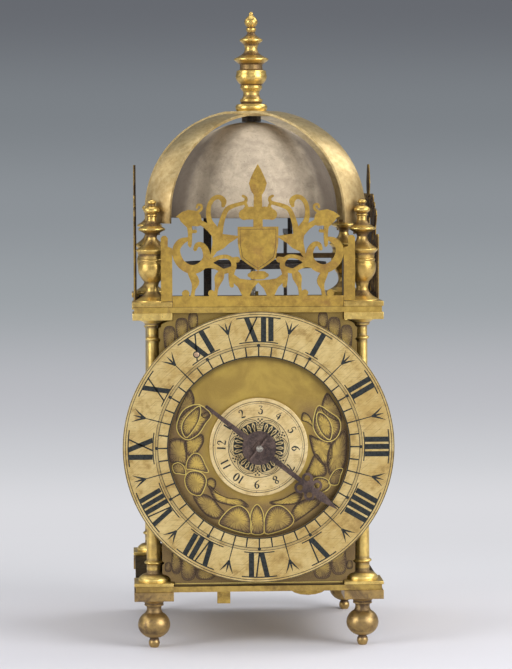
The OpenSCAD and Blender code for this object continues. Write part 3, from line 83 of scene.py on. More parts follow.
# Shader arithmetic.
class Field:
    """A value over a surface: Python arithmetic on it adds the nodes that work it out."""

    def __init__(self, tree, socket):
        self.tree = tree
        self.socket = socket

    def node(self, kind, settings=None, output=0, **sockets):
        """Add one shader node: its settings first, then the values or links of its sockets."""
        made = self.tree.nodes.new("ShaderNode" + kind)
        for key, value in (settings or {}).items():
            setattr(made, key, value)
        for key, value in sockets.items():
            place = int(key[1:]) if key[1:].isdigit() else key.replace("_", " ")
            if isinstance(value, Field):
                self.tree.links.new(value.socket, made.inputs[place])
            else:
                made.inputs[place].default_value = value
        return Field(self.tree, made.outputs[output])

    def maths(self, operation, first, second=0.0):
        return self.node("Math", {"operation": operation}, s0=first, s1=second)

    def __add__(self, other):
        return self.maths("ADD", self, other)

    def __sub__(self, other):
        return self.maths("SUBTRACT", self, other)

    def __mul__(self, other):
        return self.maths("MULTIPLY", self, other)

    def __truediv__(self, other):
        return self.maths("DIVIDE", self, other)

    def __neg__(self):
        return self.maths("MULTIPLY", self, -1.0)

    def __abs__(self):
        return self.maths("ABSOLUTE", self)

    def over(self, other):
        return self.maths("MAXIMUM", self, other)

    def under(self, other):
        return self.maths("MINIMUM", self, other)

    def step(self, low, high, bottom=0.0, top=1.0):
        """Rise smoothly from bottom to top as the value goes from low to high."""
        return self.node("MapRange", {"interpolation_type": "SMOOTHSTEP"},
                         Value=self, From_Min=low, From_Max=high, To_Min=bottom, To_Max=top)

    def stretch(self, x, y, z):
        return self.node("VectorMath", {"operation": "MULTIPLY"}, s0=self, s1=(x, y, z))

    def shift(self, x, y, z):
        return self.node("VectorMath", {"operation": "ADD"}, s0=self, s1=(x, y, z))

    def along(self, axis):
        return self.node("SeparateXYZ", {}, axis, Vector=self)

    def noise(self, scale, detail=3.0, rough=0.5, warp=0.0):
        return self.node("TexNoise", Vector=self, Scale=scale, Detail=detail,
                         Roughness=rough, Distortion=warp)

    def length(self):
        return self.node("VectorMath", {"operation": "LENGTH"}, 1, s0=self)

    def marked(self, name):
        """A value that was written on the mesh's own vertices."""
        return self.node("Attribute", {"attribute_name": name}, 2)

    def blend(self, first, second):
        """Mix two colours by this value, each a field or the code of a plain colour."""
        first, second = [colour(c) if isinstance(c, str) else c for c in (first, second)]
        return self.node("Mix", {"data_type": "RGBA"}, 2, s0=self, s6=first, s7=second)


def colour(code):
    """A colour as it is written on a paint card, made linear."""
    parts = [int(code[i:i + 2], 16) / 255 for i in (0, 2, 4)]
    return (*[c / 12.92 if c < 0.04045 else ((c + 0.055) / 1.055) ** 2.4 for c in parts], 1.0)


def start_finish(name, metallic, **constants):
    """A material with its Principled shader, and the place on the piece in millimetres."""
    made = bpy.data.materials.new(name)
    made.use_nodes = True
    tree = made.node_tree
    shader = tree.nodes["Principled BSDF"]
    shader.inputs["Metallic"].default_value = metallic
    for key, value in constants.items():
        shader.inputs[key.replace("_", " ")].default_value = value
    here = tree.nodes.new("ShaderNodeTexCoord")
    place = Field(tree, here.outputs["Object"])
    place = place.node("VectorMath", {"operation": "SCALE"}, Vector=place, Scale=1 / MM)
    return made, shader, place


def end_finish(made, shader, tint, roughness, height, depth, strength):
    """Join colour, roughness and a relief, whose depth is in millimetres, to the shader."""
    tree = made.node_tree
    tree.links.new(tint.socket, shader.inputs["Base Color"])
    tree.links.new(roughness.socket, shader.inputs["Roughness"])
    relief = height.node("Bump", Height=height, Strength=strength, Distance=depth * MM)
    tree.links.new(relief.socket, shader.inputs["Normal"])
    return made


def brass_finish(name, bright, deep, stain, rough=0.34, stained=0.5, brushed=(1, 1, 1), shade_and_dirt=None,
                 shade_tint="3B2D24", metallic=0.88):
    """Old brass: patina and painted shade in its hollows, wear and a painted highlight on its crests, with
    stains, fine scratches and pits.
    """
    made, shader, place = start_finish(name, metallic)
    hollow = place.marked("hollow")
    cloud = place.noise(0.022, 5, 0.6, 0.4)
    blotch = place.shift(31, 7, 19).noise(0.085, 6, 0.62, 0.6)
    drift = place.shift(-12, 40, 5).noise(0.3, 5, 0.6)
    scratch = place.stretch(*brushed).noise(0.9, 4, 0.6)
    fine = place.noise(1.7, 4, 0.6)
    speck = place.shift(3, 3, 3).noise(1.1, 2, 0.5).step(0.66, 0.74)
    tone = (cloud * 0.5 + drift * 0.5).step(0.36, 0.64).blend(bright, deep)
    # Hollows darken: patina, together with painted shade.
    patina_and_shade = (blotch.step(0.5, 0.68) * stained + hollow.step(0.05, 0.6) * 0.85).under(0.93)
    tint = patina_and_shade.blend(tone, stain)
    tint = (speck * 0.5).blend(tint, "3A2F25")
    # Crests lighten: wear, together with a painted highlight.
    tint = (fine.step(0.4, 0.7) * 0.18 + (-hollow).step(0.08, 0.6) * 0.55).blend(tint, bright)
    roughness = (patina_and_shade * 0.24 + scratch * 0.18 + cloud * 0.1) + (rough - 0.14)
    # The mask paints shade on the faces it covers, and on the top plate's deck dirt as well.
    if shade_and_dirt:
        darkened = (shade_and_dirt(place) * (drift * 0.5 + 0.68)).under(0.96)
        tint = darkened.blend(tint, shade_tint)
        roughness = roughness + darkened * 0.25
    height = scratch * 0.5 + fine * 0.35 + drift * 0.9 - speck * 0.8
    return end_finish(made, shader, tint, roughness, height, 0.08, 0.8)


def behind_the_face(place):
    """The sawn edges and backs of the frets, darkened with painted shade."""
    away = abs(place.along(0)).over(abs(place.along(1)))
    return away.step(-FRET_FACE - 0.7, -FRET_FACE - 0.05, 1.0, 0.0)


def on_the_deck(place):
    """The top plate's upper face, painted darker with shade and with dirt."""
    return place.along(2).step(DECK - 0.35, DECK - 0.05)


STRAP_SHADE_FULL = 268
STRAP_SHADE_END = 322


def low_on_the_strap(place):
    """The straps' legs, painted with shade so that they are darker than their crossing."""
    return place.along(2).step(STRAP_SHADE_FULL, STRAP_SHADE_END, 0.62, 0.0)


def under_the_edge(place):
    """The bottom plate's upper face between the pillars, darkened with painted shade."""
    return place.along(2).step(PILLAR_FOOT - 0.3, PILLAR_FOOT - 0.05)


OCHRE = "CFAF5C"
# How close fine scratches lie across x, y and z.
TURNED_MARKS = (0.5, 0.5, 3.5)
LEVEL_MARKS = (0.4, 2, 3)
LENGTHWAYS_MARKS = (2.0, 2.0, 0.6)
BRASS = brass_finish("old_brass", OCHRE, "A58745", "6B5540", stained=0.55)
TURNED = brass_finish("turned_brass", "DCBC6C", "B08F4C", "5E4838", 0.3, 0.45, TURNED_MARKS)
PILLAR_BRASS = brass_finish("pillar_brass", "E8CB78", "C0A058", "75604A", 0.34, 0.35, TURNED_MARKS,
                            metallic=0.8)
FOOT_BRASS = brass_finish("foot_brass", "BB9C60", "8E7650", "54443C", 0.38, 0.75, TURNED_MARKS)
# Painted shade: a darker brass for the balance cock and the potence, which lie in shadow behind the fret.
DARK_BRASS = brass_finish("painted_shade_brass", "6E5838", "4C3C2A", "2E251E", rough=0.42)
FRET = brass_finish("fret_brass", "CDAA52", "A08040", "7E5A38", 0.38, 0.65, shade_and_dirt=behind_the_face,
                    shade_tint="33261F")
PLATE = brass_finish("plate_brass", "B4994C", "8E783F", "5F4E38", 0.4, 0.7)
DECK_BRASS = brass_finish("deck_brass", OCHRE, "A88A46", "6E5740", 0.36, 0.5, LEVEL_MARKS,
                          shade_and_dirt=on_the_deck, shade_tint="2C241E")
BASE_BRASS = brass_finish("base_brass", "C2A45A", "957A44", "5F4C3A", 0.38, 0.55, LEVEL_MARKS,
                          shade_and_dirt=under_the_edge, shade_tint="30271F")
WHEEL = brass_finish("wheel_brass", "CBAA58", "AE8F4A", "7A6341", 0.33, 0.35)
STRAP = brass_finish("strap_brass", "E2CB96", "BCA068", "7C6648", 0.32, 0.35, LENGTHWAYS_MARKS,
                     shade_and_dirt=low_on_the_strap, shade_tint="7E6742")


def bell_finish():
    """Cast bell metal, pale grey-brown and fine in grain."""
    made, shader, place = start_finish("bell_metal", 0.5)
    cloud = place.noise(0.03, 5, 0.6, 0.5)
    blotch = place.shift(9, 2, 14).noise(0.16, 6, 0.65, 0.4)
    pits = place.noise(0.9, 5, 0.7)
    speck = place.shift(5, 5, 5).noise(0.9, 3, 0.6).step(0.58, 0.7)
    tone = (cloud * 0.5 + blotch * 0.5).step(0.38, 0.64).blend("CABAA2", "A99A86")
    tint = (speck * 0.4).blend(tone, "7F7060")
    wear = place.shift(1, 8, 3).noise(0.25, 4, 0.6).step(0.6, 0.7)
    tint = (wear * 0.3).blend(tint, "DCCDB4")
    plan = place.stretch(1, 1, 0).length()
    # Painted shade: the bell's sides, where the straps keep the light off, are darkened.
    shaded_flank = (abs(place.along(0)) / plan + (cloud - 0.5) * 0.15).step(0.66, 0.84) * plan.step(20, 40)
    tint = (shaded_flank * 0.84).blend(tint, "52453A")
    foot = place.along(2).step(RIM, RIM + 7, 1.0, 0.0)
    tint = (foot * 0.35).blend(tint, "7C6A55")
    roughness = pits * 0.2 + blotch * 0.16 + 0.44
    return end_finish(made, shader, tint, roughness, pits + blotch - speck, 0.14, 0.8)


def ring_finish(name, pale, warm, stain, metallic, bands):
    """The pale look of the hour ring and the alarm disc, with fine straight scratches and darker bands."""
    made, shader, place = start_finish(name, metallic)
    cloud = place.noise(0.03, 4, 0.6, 0.3)
    drift = place.shift(13, 1, 7).noise(0.14, 6, 0.62)
    across = place.stretch(0.12, 1, 2.6).noise(0.9, 4, 0.6)
    slant = place.node("VectorRotate", {"rotation_type": "Y_AXIS"}, Vector=place, Angle=0.7)
    slant = slant.stretch(0.1, 1, 3).noise(0.8, 4, 0.6)
    fine = place.noise(1.9, 3, 0.6)
    speck = place.shift(2, 9, 4).noise(0.75, 2, 0.5).step(0.68, 0.75)
    out = place.shift(0, 0, -DIAL).stretch(1, 0, 1).length()
    tone = (cloud * 0.5 + drift * 0.5).step(0.35, 0.62).blend(pale, warm)
    tint = (drift.step(0.54, 0.7) * 0.5).blend(tone, stain)
    tint = (across.step(0.53, 0.68) * 0.4).blend(tint, stain)
    tint = (slant.step(0.55, 0.66) * 0.42).blend(tint, stain)
    for low, high, share in bands:
        band = out.step(low - 0.2, low + 0.1) - out.step(high - 0.1, high + 0.2)
        tint = (band * share).blend(tint, "6A5C42")
    tint = (speck * 0.55).blend(tint, "6F5B3E")
    height = across * 0.6 + slant * 0.5 + fine * 0.3
    return end_finish(made, shader, tint, across * 0.2 + drift * 0.16 + 0.26, height, 0.05, 0.7)


def iron_finish(name, light, dark, metallic=0.6, rough=0.42):
    """Forged iron, pitted and brown."""
    made, shader, place = start_finish(name, metallic)
    cloud = place.noise(0.09, 6, 0.65, 0.5)
    fine = place.noise(1.1, 5, 0.7)
    tone = (cloud * 0.55 + fine * 0.45).step(0.38, 0.62).blend(light, dark)
    rust = place.shift(4, 4, 4).noise(0.3, 5, 0.65).step(0.56, 0.7) * 0.6
    tint = rust.blend(tone, "5C4335")
    roughness = (fine * 0.2 + cloud * 0.15) + (rough - 0.15)
    return end_finish(made, shader, tint, roughness, fine + cloud, 0.1, 0.8)


def wax_finish(name, light, dark):
    """Black wax in the cuts, dull and slightly broken."""
    made, shader, place = start_finish(name, 0.0, Specular_IOR_Level=0.25)
    grain = place.noise(0.8, 5, 0.65)
    tone = grain.step(0.4, 0.62).blend(light, dark)
    return end_finish(made, shader, tone, grain * 0.3 + 0.35, grain, 0.06, 0.6)


BELL = bell_finish()
# The bands at 54 to 55.7 mm and 82 to 84 mm are painted shade along the ring's inner and outer edges; the
# two between them tint the engraved track.
RING = ring_finish("ring_brass", "DAC388", "BFA263", "86693C", 0.72,
                   [(54, 55.7, 0.6), (61.4, 62.8, 0.28), (60.9, 61.4, 0.35), (82, 84, 0.3)])
DISC = ring_finish("disc_brass", "E0CB98", "CDB37A", "A08250", 0.45,
                   [(27.4, 28.1, 0.35), (10, 18.6, 0.12)])
HAND = iron_finish("hand_iron", "6A5850", "382E2C")
IRON = iron_finish("iron", "57504A", "332D2A", 0.7)
STEEL = iron_finish("steel", "A8A39A", "77726B", 0.9, 0.36)
WAX = wax_finish("black_wax", "2A2E2D", "161A1A")
CUT = wax_finish("engraved_line", "4A3A2A", "33271D")
COPPER = iron_finish("copper", "C0A284", "96785E", 0.7, 0.36)
# A painted highlight: a pale brass for the bright lines where light catches edges.
LIT_EDGE_BRASS = brass_finish("highlight_brass", "E4CE78", "CBB05E", "9A8048", 0.32, 0.25)


def dial_finish():
    """The plate behind the ring: plain and yellow above, browner towards its foot and its corners."""
    made, shader, place = start_finish("dial_brass", 0.78)
    centred = place.shift(0, 0, -DIAL).stretch(1, 0, 1)
    cloud = place.noise(0.04, 5, 0.6, 0.5)
    blotch = place.shift(31, 7, 19).noise(0.16, 6, 0.62, 0.6)
    scratch = place.stretch(0.3, 1, 2.5).noise(1.2, 4, 0.6)
    fine = place.noise(1.9, 4, 0.6)
    out = centred.length()
    below = centred.along(2).step(18, 32, 1.0, 0.0)
    leafy = below * out.step(29, 38) * (blotch * 0.8 + 0.45)
    tone = cloud.step(0.38, 0.64).blend("BDA050", "A38745")
    tint = (leafy * 0.85).under(0.85).blend(tone, "6E5745")
    tint = (out.step(78, 84) * 0.5).blend(tint, "5F4E38")
    # A painted shadow of the hour ring on the plate, just inside its inner edge.
    tint = ((out.step(51, 54.5) - out.step(55, 56)) * 0.6).blend(tint, "4A3B2B")
    tint = (fine.step(0.4, 0.7) * 0.15).blend(tint, "D2B964")
    roughness = leafy * 0.15 + scratch * 0.16 + 0.28
    return end_finish(made, shader, tint, roughness, scratch + fine * 0.6, 0.06, 0.8)


def leaf_finish():
    """The chased leaves: ochre in their middles and brown towards their rims."""
    made, shader, place = start_finish("leaf_brass", 0.72)
    rim = place.marked("rim")
    cloud = place.noise(0.14, 5, 0.6, 0.5)
    fine = place.noise(1.6, 4, 0.6)
    out = place.shift(0, 0, -DIAL).stretch(1, 0, 1).length()
    near_ring = (out.step(42, 55) - out.step(60, 70)) * (cloud + 0.25)
    in_corner = out.step(78, 90) * (cloud * 0.9 + 0.3)
    edge = (rim + (cloud - 0.5) * 0.9).step(0.02, 0.75).over(near_ring).over(in_corner)
    tone = cloud.step(0.38, 0.64).blend("CEB05C", "AA8F4E")
    tint = edge.under(0.95).blend(tone, "5F4C40")
    tint = (fine.step(0.42, 0.7) * 0.2).blend(tint, "CDB160")
    return end_finish(made, shader, tint, fine * 0.2 + edge * 0.1 + 0.26, fine - edge * 1.5, 0.09, 0.8)


DIAL_BRASS = dial_finish()
LEAF = leaf_finish()


# Making pieces.
def finish_piece(name, shape, material, body="frame", instead_of=(), sharp=32, edge=0.0,
                 recalculate=True):
    """Turn a shape in millimetres into a piece of the clock, in its place."""
    if recalculate:
        bmesh.ops.remove_doubles(shape, verts=shape.verts, dist=MERGE)
        bmesh.ops.recalc_face_normals(shape, faces=shape.faces)
    bmesh.ops.scale(shape, vec=(MM, MM, MM), verts=shape.verts)
    mesh = bpy.data.meshes.new(name)
    shape.to_mesh(mesh)
    shape.free()
    return finish_mesh(name, mesh, material, body, instead_of, sharp, edge)


def finish_mesh(name, mesh, material, body="frame", instead_of=(), sharp=60, edge=0.0):
    """Give a mesh its material, its rounded edges and its place in the clock."""
    mesh.materials.clear()
    mesh.materials.append(material)
    mesh.shade_smooth()
    mesh.set_sharp_from_angle(angle=math.radians(sharp))
    made = bpy.data.objects.new(name, mesh)
    bpy.context.scene.collection.objects.link(made)
    if edge:
        rounded = made.modifiers.new("edges", "BEVEL")
        rounded.width = edge * MM
        rounded.segments = 2
        rounded.profile = 0.5
        rounded.limit_method = "ANGLE"
        rounded.angle_limit = math.radians(BEVEL_ANGLE)
        rounded.harden_normals = False
    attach(made, body)
    if instead_of:
        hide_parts(*instead_of)
    return made


def cad_shape(*nodes):
    """A merged copy of CAD nodes, in millimetres, with its flat faces joined up."""
    shape = bmesh.new()
    for node in nodes:
        shape.from_mesh(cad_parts[node].data)
    bmesh.ops.scale(shape, vec=(1 / MM, 1 / MM, 1 / MM), verts=shape.verts)
    bmesh.ops.remove_doubles(shape, verts=shape.verts, dist=CAD_MERGE)
    bmesh.ops.dissolve_limit(shape, angle_limit=math.radians(FLAT_ANGLE), verts=shape.verts,
                             edges=shape.edges)
    return shape


def dress(node, material, edge=0.25, body="frame"):
    """Show a CAD node in its own shape, with softened edges and a finish."""
    return finish_piece(node + "_finished", cad_shape(node), material, body, [node], edge=edge,
                        recalculate=False)


OUTLINE_STEP = 0.9
SWELL_PARTS = 8
HOLLOW_REACH = 2.6
HOLLOW_DEPTH = 1.5


def outline(start, *steps):
    """A turned outline: each step goes to a radius and height, straight or swelling by a third value."""
    points = [start]
    for step in steps:
        r0, z0 = points[-1]
        r1, z1 = step[:2]
        swell = step[2] if len(step) > 2 else 0
        length = math.hypot(r1 - r0, z1 - z0)
        parts = max(1, math.ceil(length / OUTLINE_STEP), SWELL_PARTS if swell else 1)
        for i in range(1, parts + 1):
            t = i / parts
            points.append((r0 + (r1 - r0) * t + swell * math.sin(math.pi * t), z0 + (z1 - z0) * t))
    return points


def turn(shape, points, x, y, z, steps=96):
    """Spin an outline about an upright axis, and note where it lies in a hollow (above 0) or on a crest."""
    layer = shape.verts.layers.float.get("hollow") or shape.verts.layers.float.new("hollow")
    row = []
    for r, h in points:
        near = [q[0] for q in points if abs(q[1] - h) < HOLLOW_REACH]
        made = shape.verts.new((x + r, y, z + h))
        depth = (sum(near) / len(near) - r) / HOLLOW_DEPTH + 0.15 * (max(near) - r > HOLLOW_DEPTH)
        made[layer] = max(-1.0, min(1.0, depth))
        row.append(made)
    edges = [shape.edges.new(pair) for pair in zip(row, row[1:])]
    bmesh.ops.spin(shape, geom=row + edges, cent=(x, y, 0), axis=(0, 0, 1), dvec=(0, 0, 0),
                   angle=math.tau, steps=steps, use_merge=True, use_duplicate=False)


def square_block(shape, x, y, z0, z1):
    """A square plinth or cap about an upright axis."""
    centre = Matrix.Translation((x, y, (z0 + z1) / 2))
    bmesh.ops.create_cube(shape, size=1, matrix=centre @ Matrix.Diagonal((SQUARE, SQUARE, z1 - z0, 1)))


def rod(shape, start, end, radius, sides=32, tip=None):
    """A round bar between two points, tapering to a tip where one is given."""
    start, end = Vector(start), Vector(end)
    lie = (end - start).to_track_quat("Z", "Y").to_matrix().to_4x4()
    bmesh.ops.create_cone(shape, cap_ends=True, segments=sides, radius1=radius,
                          radius2=radius if tip is None else tip, depth=(end - start).length,
                          matrix=Matrix.Translation((start + end) / 2) @ lie)


# Turned work. The outlines give radius and height, and pillars reach between the plates.
H = TOP_PLATE - PILLAR_FOOT
PILLAR = outline((0, 1.6), (9.4, 1.6), (9.4, 2.2), (6.9, 6.0, 0.9), (5.4, 6.3), (4.3, 7.0), (4.3, 12.2),
                 (4.6, 12.3), (4.6, 14.5, 1.1), (4.3, 14.7), (3.1, H - 17.4), (3.3, H - 17.2),
                 (3.3, H - 15, 0.9), (3.0, H - 14.8), (3.0, H - 8.8), (4.4, H - 8.2), (4.5, H - 7.3),
                 (8.1, H - 4.8, -0.8), (8.3, H - 4.4), (8.3, H - 4.0), (0, H - 4.0))
BALL_RADIUS = 9.9
BALL_HALF_HEIGHT = 8.6
BALL_MIDDLE = 14.2
ball_angles = [math.radians(t) for t in range(-70, 59, 8)]
BALL = [(BALL_RADIUS * math.cos(t), BALL_MIDDLE + BALL_HALF_HEIGHT * math.sin(t)) for t in ball_angles]
FOOT = (outline((0, 0), (2.2, 0), (2.5, 0.2), (2.6, 5.4, 0.9), (2.4, 5.8)) + BALL
        + outline((5.0, 21.9), (4.7, 25.6, -0.4), (5.9, 25.9), (5.9, 26.7), (5.6, 26.9), (9.0, 30, -0.8),
                  (9.0, 30.4), (0, 30.4)))
FOOT_CAP = 30
PILLAR_BASE = 2
PILLAR_CAP = 4.4
URN_PLINTH = 3
URN = outline((0, 2.6), (10.2, 2.6), (10.2, 3.6), (9.8, 3.8), (3.65, 10.2, -1.4), (3.65, 11.8),
              (4.3, 14.4), (8.4, 25.2, 1.5), (7.6, 27.2), (8.0, 27.5), (8.0, 28.4), (7.4, 28.8),
              (7.6, 31.5), (9.2, 33.3), (9.6, 33.8), (9.6, 34.4), (9.2, 34.6), (3.1, 41.7, -1.5),
              (3.1, 42.0), (7.6, 46.0, -1.2), (8.2, 46.3), (8.2, 47.2), (7.8, 47.4), (2.9, 52.8, -1.3),
              (2.9, 54.4), (3.5, 54.7), (3.5, 55.6), (2.9, 55.9), (2.9, 60.6, 2.1), (2.1, 60.9),
              (2.1, 61.6), (1.7, 61.8), (0.6, 65.0, 1.6), (0, 65.2))
TOP = outline((0, 0), (9.2, 0), (9.2, 0.2), (9.2, 4.4, 0.9), (6.4, 4.8), (7.1, 6.2), (7.1, 7.4), (6.2, 7.8),
              (5.2, 12.2, -0.6), (6.9, 14.6), (6.9, 16.0), (6.4, 16.3), (9.3, 24.0, 1.7), (9.3, 25.4),
              (7.2, 26.2), (7.0, 29.2), (10.4, 31.8), (10.9, 32.2), (10.9, 33.0), (10.3, 33.3),
              (4.0, 39.0, -1.8), (4.0, 39.6), (6.8, 43.8, -0.8), (7.2, 44.2), (7.2, 45.0), (6.8, 45.3),
              (2.3, 49.2, -0.8), (3.2, 51.0), (3.2, 52.0), (2.4, 52.4), (2.4, 52.6), (1.4, 60.2, 2.3),
              (1.2, 60.4), (0.5, 62.4, 0.5), (0, 62.4))


def corner_piece(where, called, node, points, z, blocks, material, edge=0.35):
    """A turned piece that stands in one corner at a height z, with its square blocks from low to high."""
    x, y = [side * CORNER for side in CORNERS[where]]
    shape = bmesh.new()
    turn(shape, points, x, y, z)
    for low, high in blocks:
        square_block(shape, x, y, low, high)
    finish_piece(where + called, shape, material, instead_of=[where + node], edge=edge)


PILLAR_BLOCKS = ((PILLAR_FOOT, PILLAR_FOOT + PILLAR_BASE), (TOP_PLATE - PILLAR_CAP, TOP_PLATE))
FOOT_BLOCKS = ((FOOT_CAP, BOTTOM_PLATE),)
URN_BLOCKS = ((DECK, DECK + URN_PLINTH),)
for where in CORNERS:
    corner_piece(where, "_pillar_turned", "_pillar", PILLAR, PILLAR_FOOT, PILLAR_BLOCKS, PILLAR_BRASS)
    corner_piece(where, "_foot_turned", "_foot", FOOT, 0, FOOT_BLOCKS, FOOT_BRASS)
    corner_piece(where, "_urn_turned", "_finial", URN, DECK, URN_BLOCKS, TURNED, 0.25)

# The top finial, with the stud that holds the bell and the straps.
STUD_END = 307
STUD_RADIUS = 2.4
shape = bmesh.new()
turn(shape, TOP, 0, 0, FINIAL_FOOT)
rod(shape, (0, 0, STUD_END), (0, 0, FINIAL_FOOT + 1), STUD_RADIUS)
finish_piece("top_finial_turned", shape, TURNED, instead_of=["top_finial"], edge=0.2)


# The bell, cast with a thin wall and a short upright lip.
BELL_ROUNDNESS = 2.1
BELL_WALL = 2.2
BELL_LIP = 0.9
STUD_HOLE = 2.5


def bell_curve(radius, height, parts=40):
    """One side of the bell, from its rim to near its crown, where the stud's hole is."""
    turns = [math.pi / 2 * i / parts for i in range(parts + 1)]
    fullness = 2 / BELL_ROUNDNESS
    curve = [(radius * max(0.0, math.cos(a)) ** fullness, height * math.sin(a) ** fullness) for a in turns]
    return [(r, h) for r, h in curve if h > BELL_LIP + 0.3 and r > STUD_HOLE + 0.2]


inside = BELL_HEIGHT - BELL_WALL
outer = [(BELL_RADIUS, 0), (BELL_RADIUS, BELL_LIP)] + bell_curve(BELL_RADIUS, BELL_HEIGHT)
inner = [(STUD_HOLE, inside)] + bell_curve(BELL_RADIUS - BELL_WALL, inside)[::-1]
lip = [(BELL_RADIUS - BELL_WALL, 0), (BELL_RADIUS, 0)]
shape = bmesh.new()
turn(shape, outer + [(STUD_HOLE, BELL_HEIGHT)] + inner + lip, 0, 0, RIM, 160)
finish_piece("bell_cast", shape, BELL, instead_of=["bell"], edge=0.3)


# The straps, cut lengthways so that their outer faces can be crowned.
STRAP_CUTS = (-8.5, -6.5, -4.5, -2.2, 0, 2.2, 4.5, 6.5, 8.5)
STRAP_EDGE = 0.3
FACES_OUT = 0.4
PEG_TOP = 4
FLAT_CROSSING = 15
CROWN_RUN = 14


def crown_strap(node, across):
    """A bell strap with its outer face crowned by hammering: across is the level way over its width."""
    shape = cad_shape(node)
    across = Vector(across).normalized()
    for at in STRAP_CUTS:
        bmesh.ops.bisect_plane(shape, geom=shape.verts[:] + shape.edges[:] + shape.faces[:], dist=MERGE,
                               plane_co=across * at, plane_no=across)
    shape.normal_update()
    heart = Vector((0, 0, RIM))
    half = STRAP_WIDTH / 2
    for point in shape.verts:
        side = point.co.dot(across)
        out = (point.co - heart).normalized()
        reach = math.hypot(point.co.x, point.co.y)
        outer = point.normal.dot(out) > FACES_OUT and point.co.z > RIM + PEG_TOP
        if outer and abs(side) < half - STRAP_EDGE:
            taper = min(1.0, max(0.0, (reach - FLAT_CROSSING) / CROWN_RUN))
            point.co += out * taper * (1 - (side / half) ** 2)
    return finish_piece(node + "_crowned", shape, STRAP, "frame", [node], sharp=24, edge=0.35,
                        recalculate=False)


# The end of a strap that reaches furthest to the right tells on which diagonal it lies.
for node in ("lower_strap", "upper_strap"):
    far = max(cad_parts[node].data.vertices, key=lambda v: v.co.x * 10 + v.co.y)
    crown_strap(node, (math.copysign(1, far.co.y), -1, 0))

# Plates, frets, doors, bars and the pieces of forged iron, in the shapes of the CAD.
for node in ("middle_bar", "back_bar", "alarm_cock"):
    dress(node, BRASS)
for node in ("balance_cock", "potence"):
    dress(node, DARK_BRASS)
dress("top_plate", DECK_BRASS)
dress("bottom_plate", BASE_BRASS, 0.2)
dress("back_plate", PLATE, 0.2)
for node in ("left_door", "right_door"):
    dress(node, PLATE, 0.2, body=node)
for node in ("front_fret", "left_fret", "right_fret"):
    dress(node, FRET, 0.18)
dress("dial_plate", DIAL_BRASS, 0.2)
dress("chapter_ring", RING, 0.3)
dress("alarm_disc", DISC, 0.3, "alarm_dial")
dress("hour_hand", HAND, 0.4, "hour")
dress("balance_wheel", IRON, 0.3, "balance")
dress("hammer", IRON, 0.4, "hammer")
dress("alarm_verge", IRON, 0.3, "alarm_hammer")
dress("hand_collet", HAND, 0.2)

# The front bar's post is brass up to the plate, and its steel stud carries the hand.
STUD_FOOT = -58.1
HAND_STUD_RADIUS = 2
STUD_POINT = 1.4
shape = cad_shape("front_bar")
for point in shape.verts:
    point.co.y = max(point.co.y, STUD_FOOT)
finish_piece("front_bar_brass", shape, BRASS, instead_of=["front_bar"], edge=0.2)
shape = bmesh.new()
rod(shape, (0, STUD_FOOT + 1, DIAL), (0, STUD_TIP + STUD_POINT, DIAL), HAND_STUD_RADIUS)
rod(shape, (0, STUD_TIP + STUD_POINT, DIAL), (0, STUD_TIP, DIAL), HAND_STUD_RADIUS, 4, 0.3)
finish_piece("hand_stud", shape, STEEL, instead_of=["front_bar"], edge=0.15)

# Wheels, screws and other small pieces keep their CAD meshes, and only take a finish.
LEFT_AS_MADE = {
    WHEEL: ("going_great_wheel", "going_pulley", "second_wheel", "crown_wheel", "hour_wheel",
            "strike_great_wheel", "strike_pulley", "hoop_wheel", "warning_wheel", "fly", "count_wheel",
            "alarm_crown_wheel"),
    IRON: ("bell_nut", "bar_wedges", "lifting_detent", "locking_detent", "alarm_lever"),
    STEEL: ("fret_screws", "ring_rivets", "verge", "alarm_cam", "hammer_spring"),
}
for material, nodes in LEFT_AS_MADE.items():
    for node in nodes:
        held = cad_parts[node]
        held.data.materials.clear()
        held.data.materials.append(material)


# Engraving. Each line starts a hair inside its face.
SUNK = 0.01


def engrave(name, strokes, face, material, body="frame", height=0.05, middle=DIAL, turned=0.0,
            flat=1):
    """Fill cut lines: strokes of (x, z, width) points, lying on an upright face that looks to -Y."""
    drawn = bpy.data.curves.new(name, "CURVE")
    drawn.dimensions = "3D"
    drawn.bevel_depth = 0.5
    drawn.bevel_resolution = flat
    drawn.use_fill_caps = True
    for points in strokes:
        line = drawn.splines.new("POLY")
        line.points.add(len(points) - 1)
        for made, (x, z, width) in zip(line.points, points):
            made.co = (x, z, 0, 1)
            made.radius = width
    holder = bpy.data.objects.new(name + "_drawn", drawn)
    bpy.context.scene.collection.objects.link(holder)
    bpy.context.view_layer.update()
    mesh = bpy.data.meshes.new_from_object(holder.evaluated_get(bpy.context.evaluated_depsgraph_get()))
    bpy.data.objects.remove(holder)
    lie = Matrix.Translation((0, (face + SUNK) * MM, middle * MM))
    upright = Matrix.Rotation(math.radians(turned), 4, "Y") @ Matrix.Rotation(math.pi / 2, 4, "X")
    squashed = Matrix.Diagonal((MM, MM, height * MM * 2, 1))
    mesh.transform(lie @ upright @ squashed)
    return finish_mesh(name, mesh, material, body)


def smooth(points, parts=3, closed=False):
    """Points on a soft curve through points of two or three values."""
    made = []
    last = len(points) - 1
    for i in range(last + closed):
        near = [(i + k) % (last + 1) if closed else min(max(i + k, 0), last) for k in (-1, 0, 1, 2)]
        a, b, c, d = (Vector(points[k]) for k in near)
        for j in range(parts):
            t = j / parts
            bend = (2 * a - 5 * b + 4 * c - d) * t ** 2 + (3 * b - a - 3 * c + d) * t ** 3
            made.append(tuple((2 * b + (c - a) * t + bend) / 2))
    return made if closed else made + [tuple(points[-1])]


def on_ring(angle, radius, across=0.0):
    """The place at a clockwise angle from twelve, at a radius, and a little along the turn."""
    a = math.radians(angle)
    return radius * math.sin(a) + across * math.cos(a), radius * math.cos(a) - across * math.sin(a)


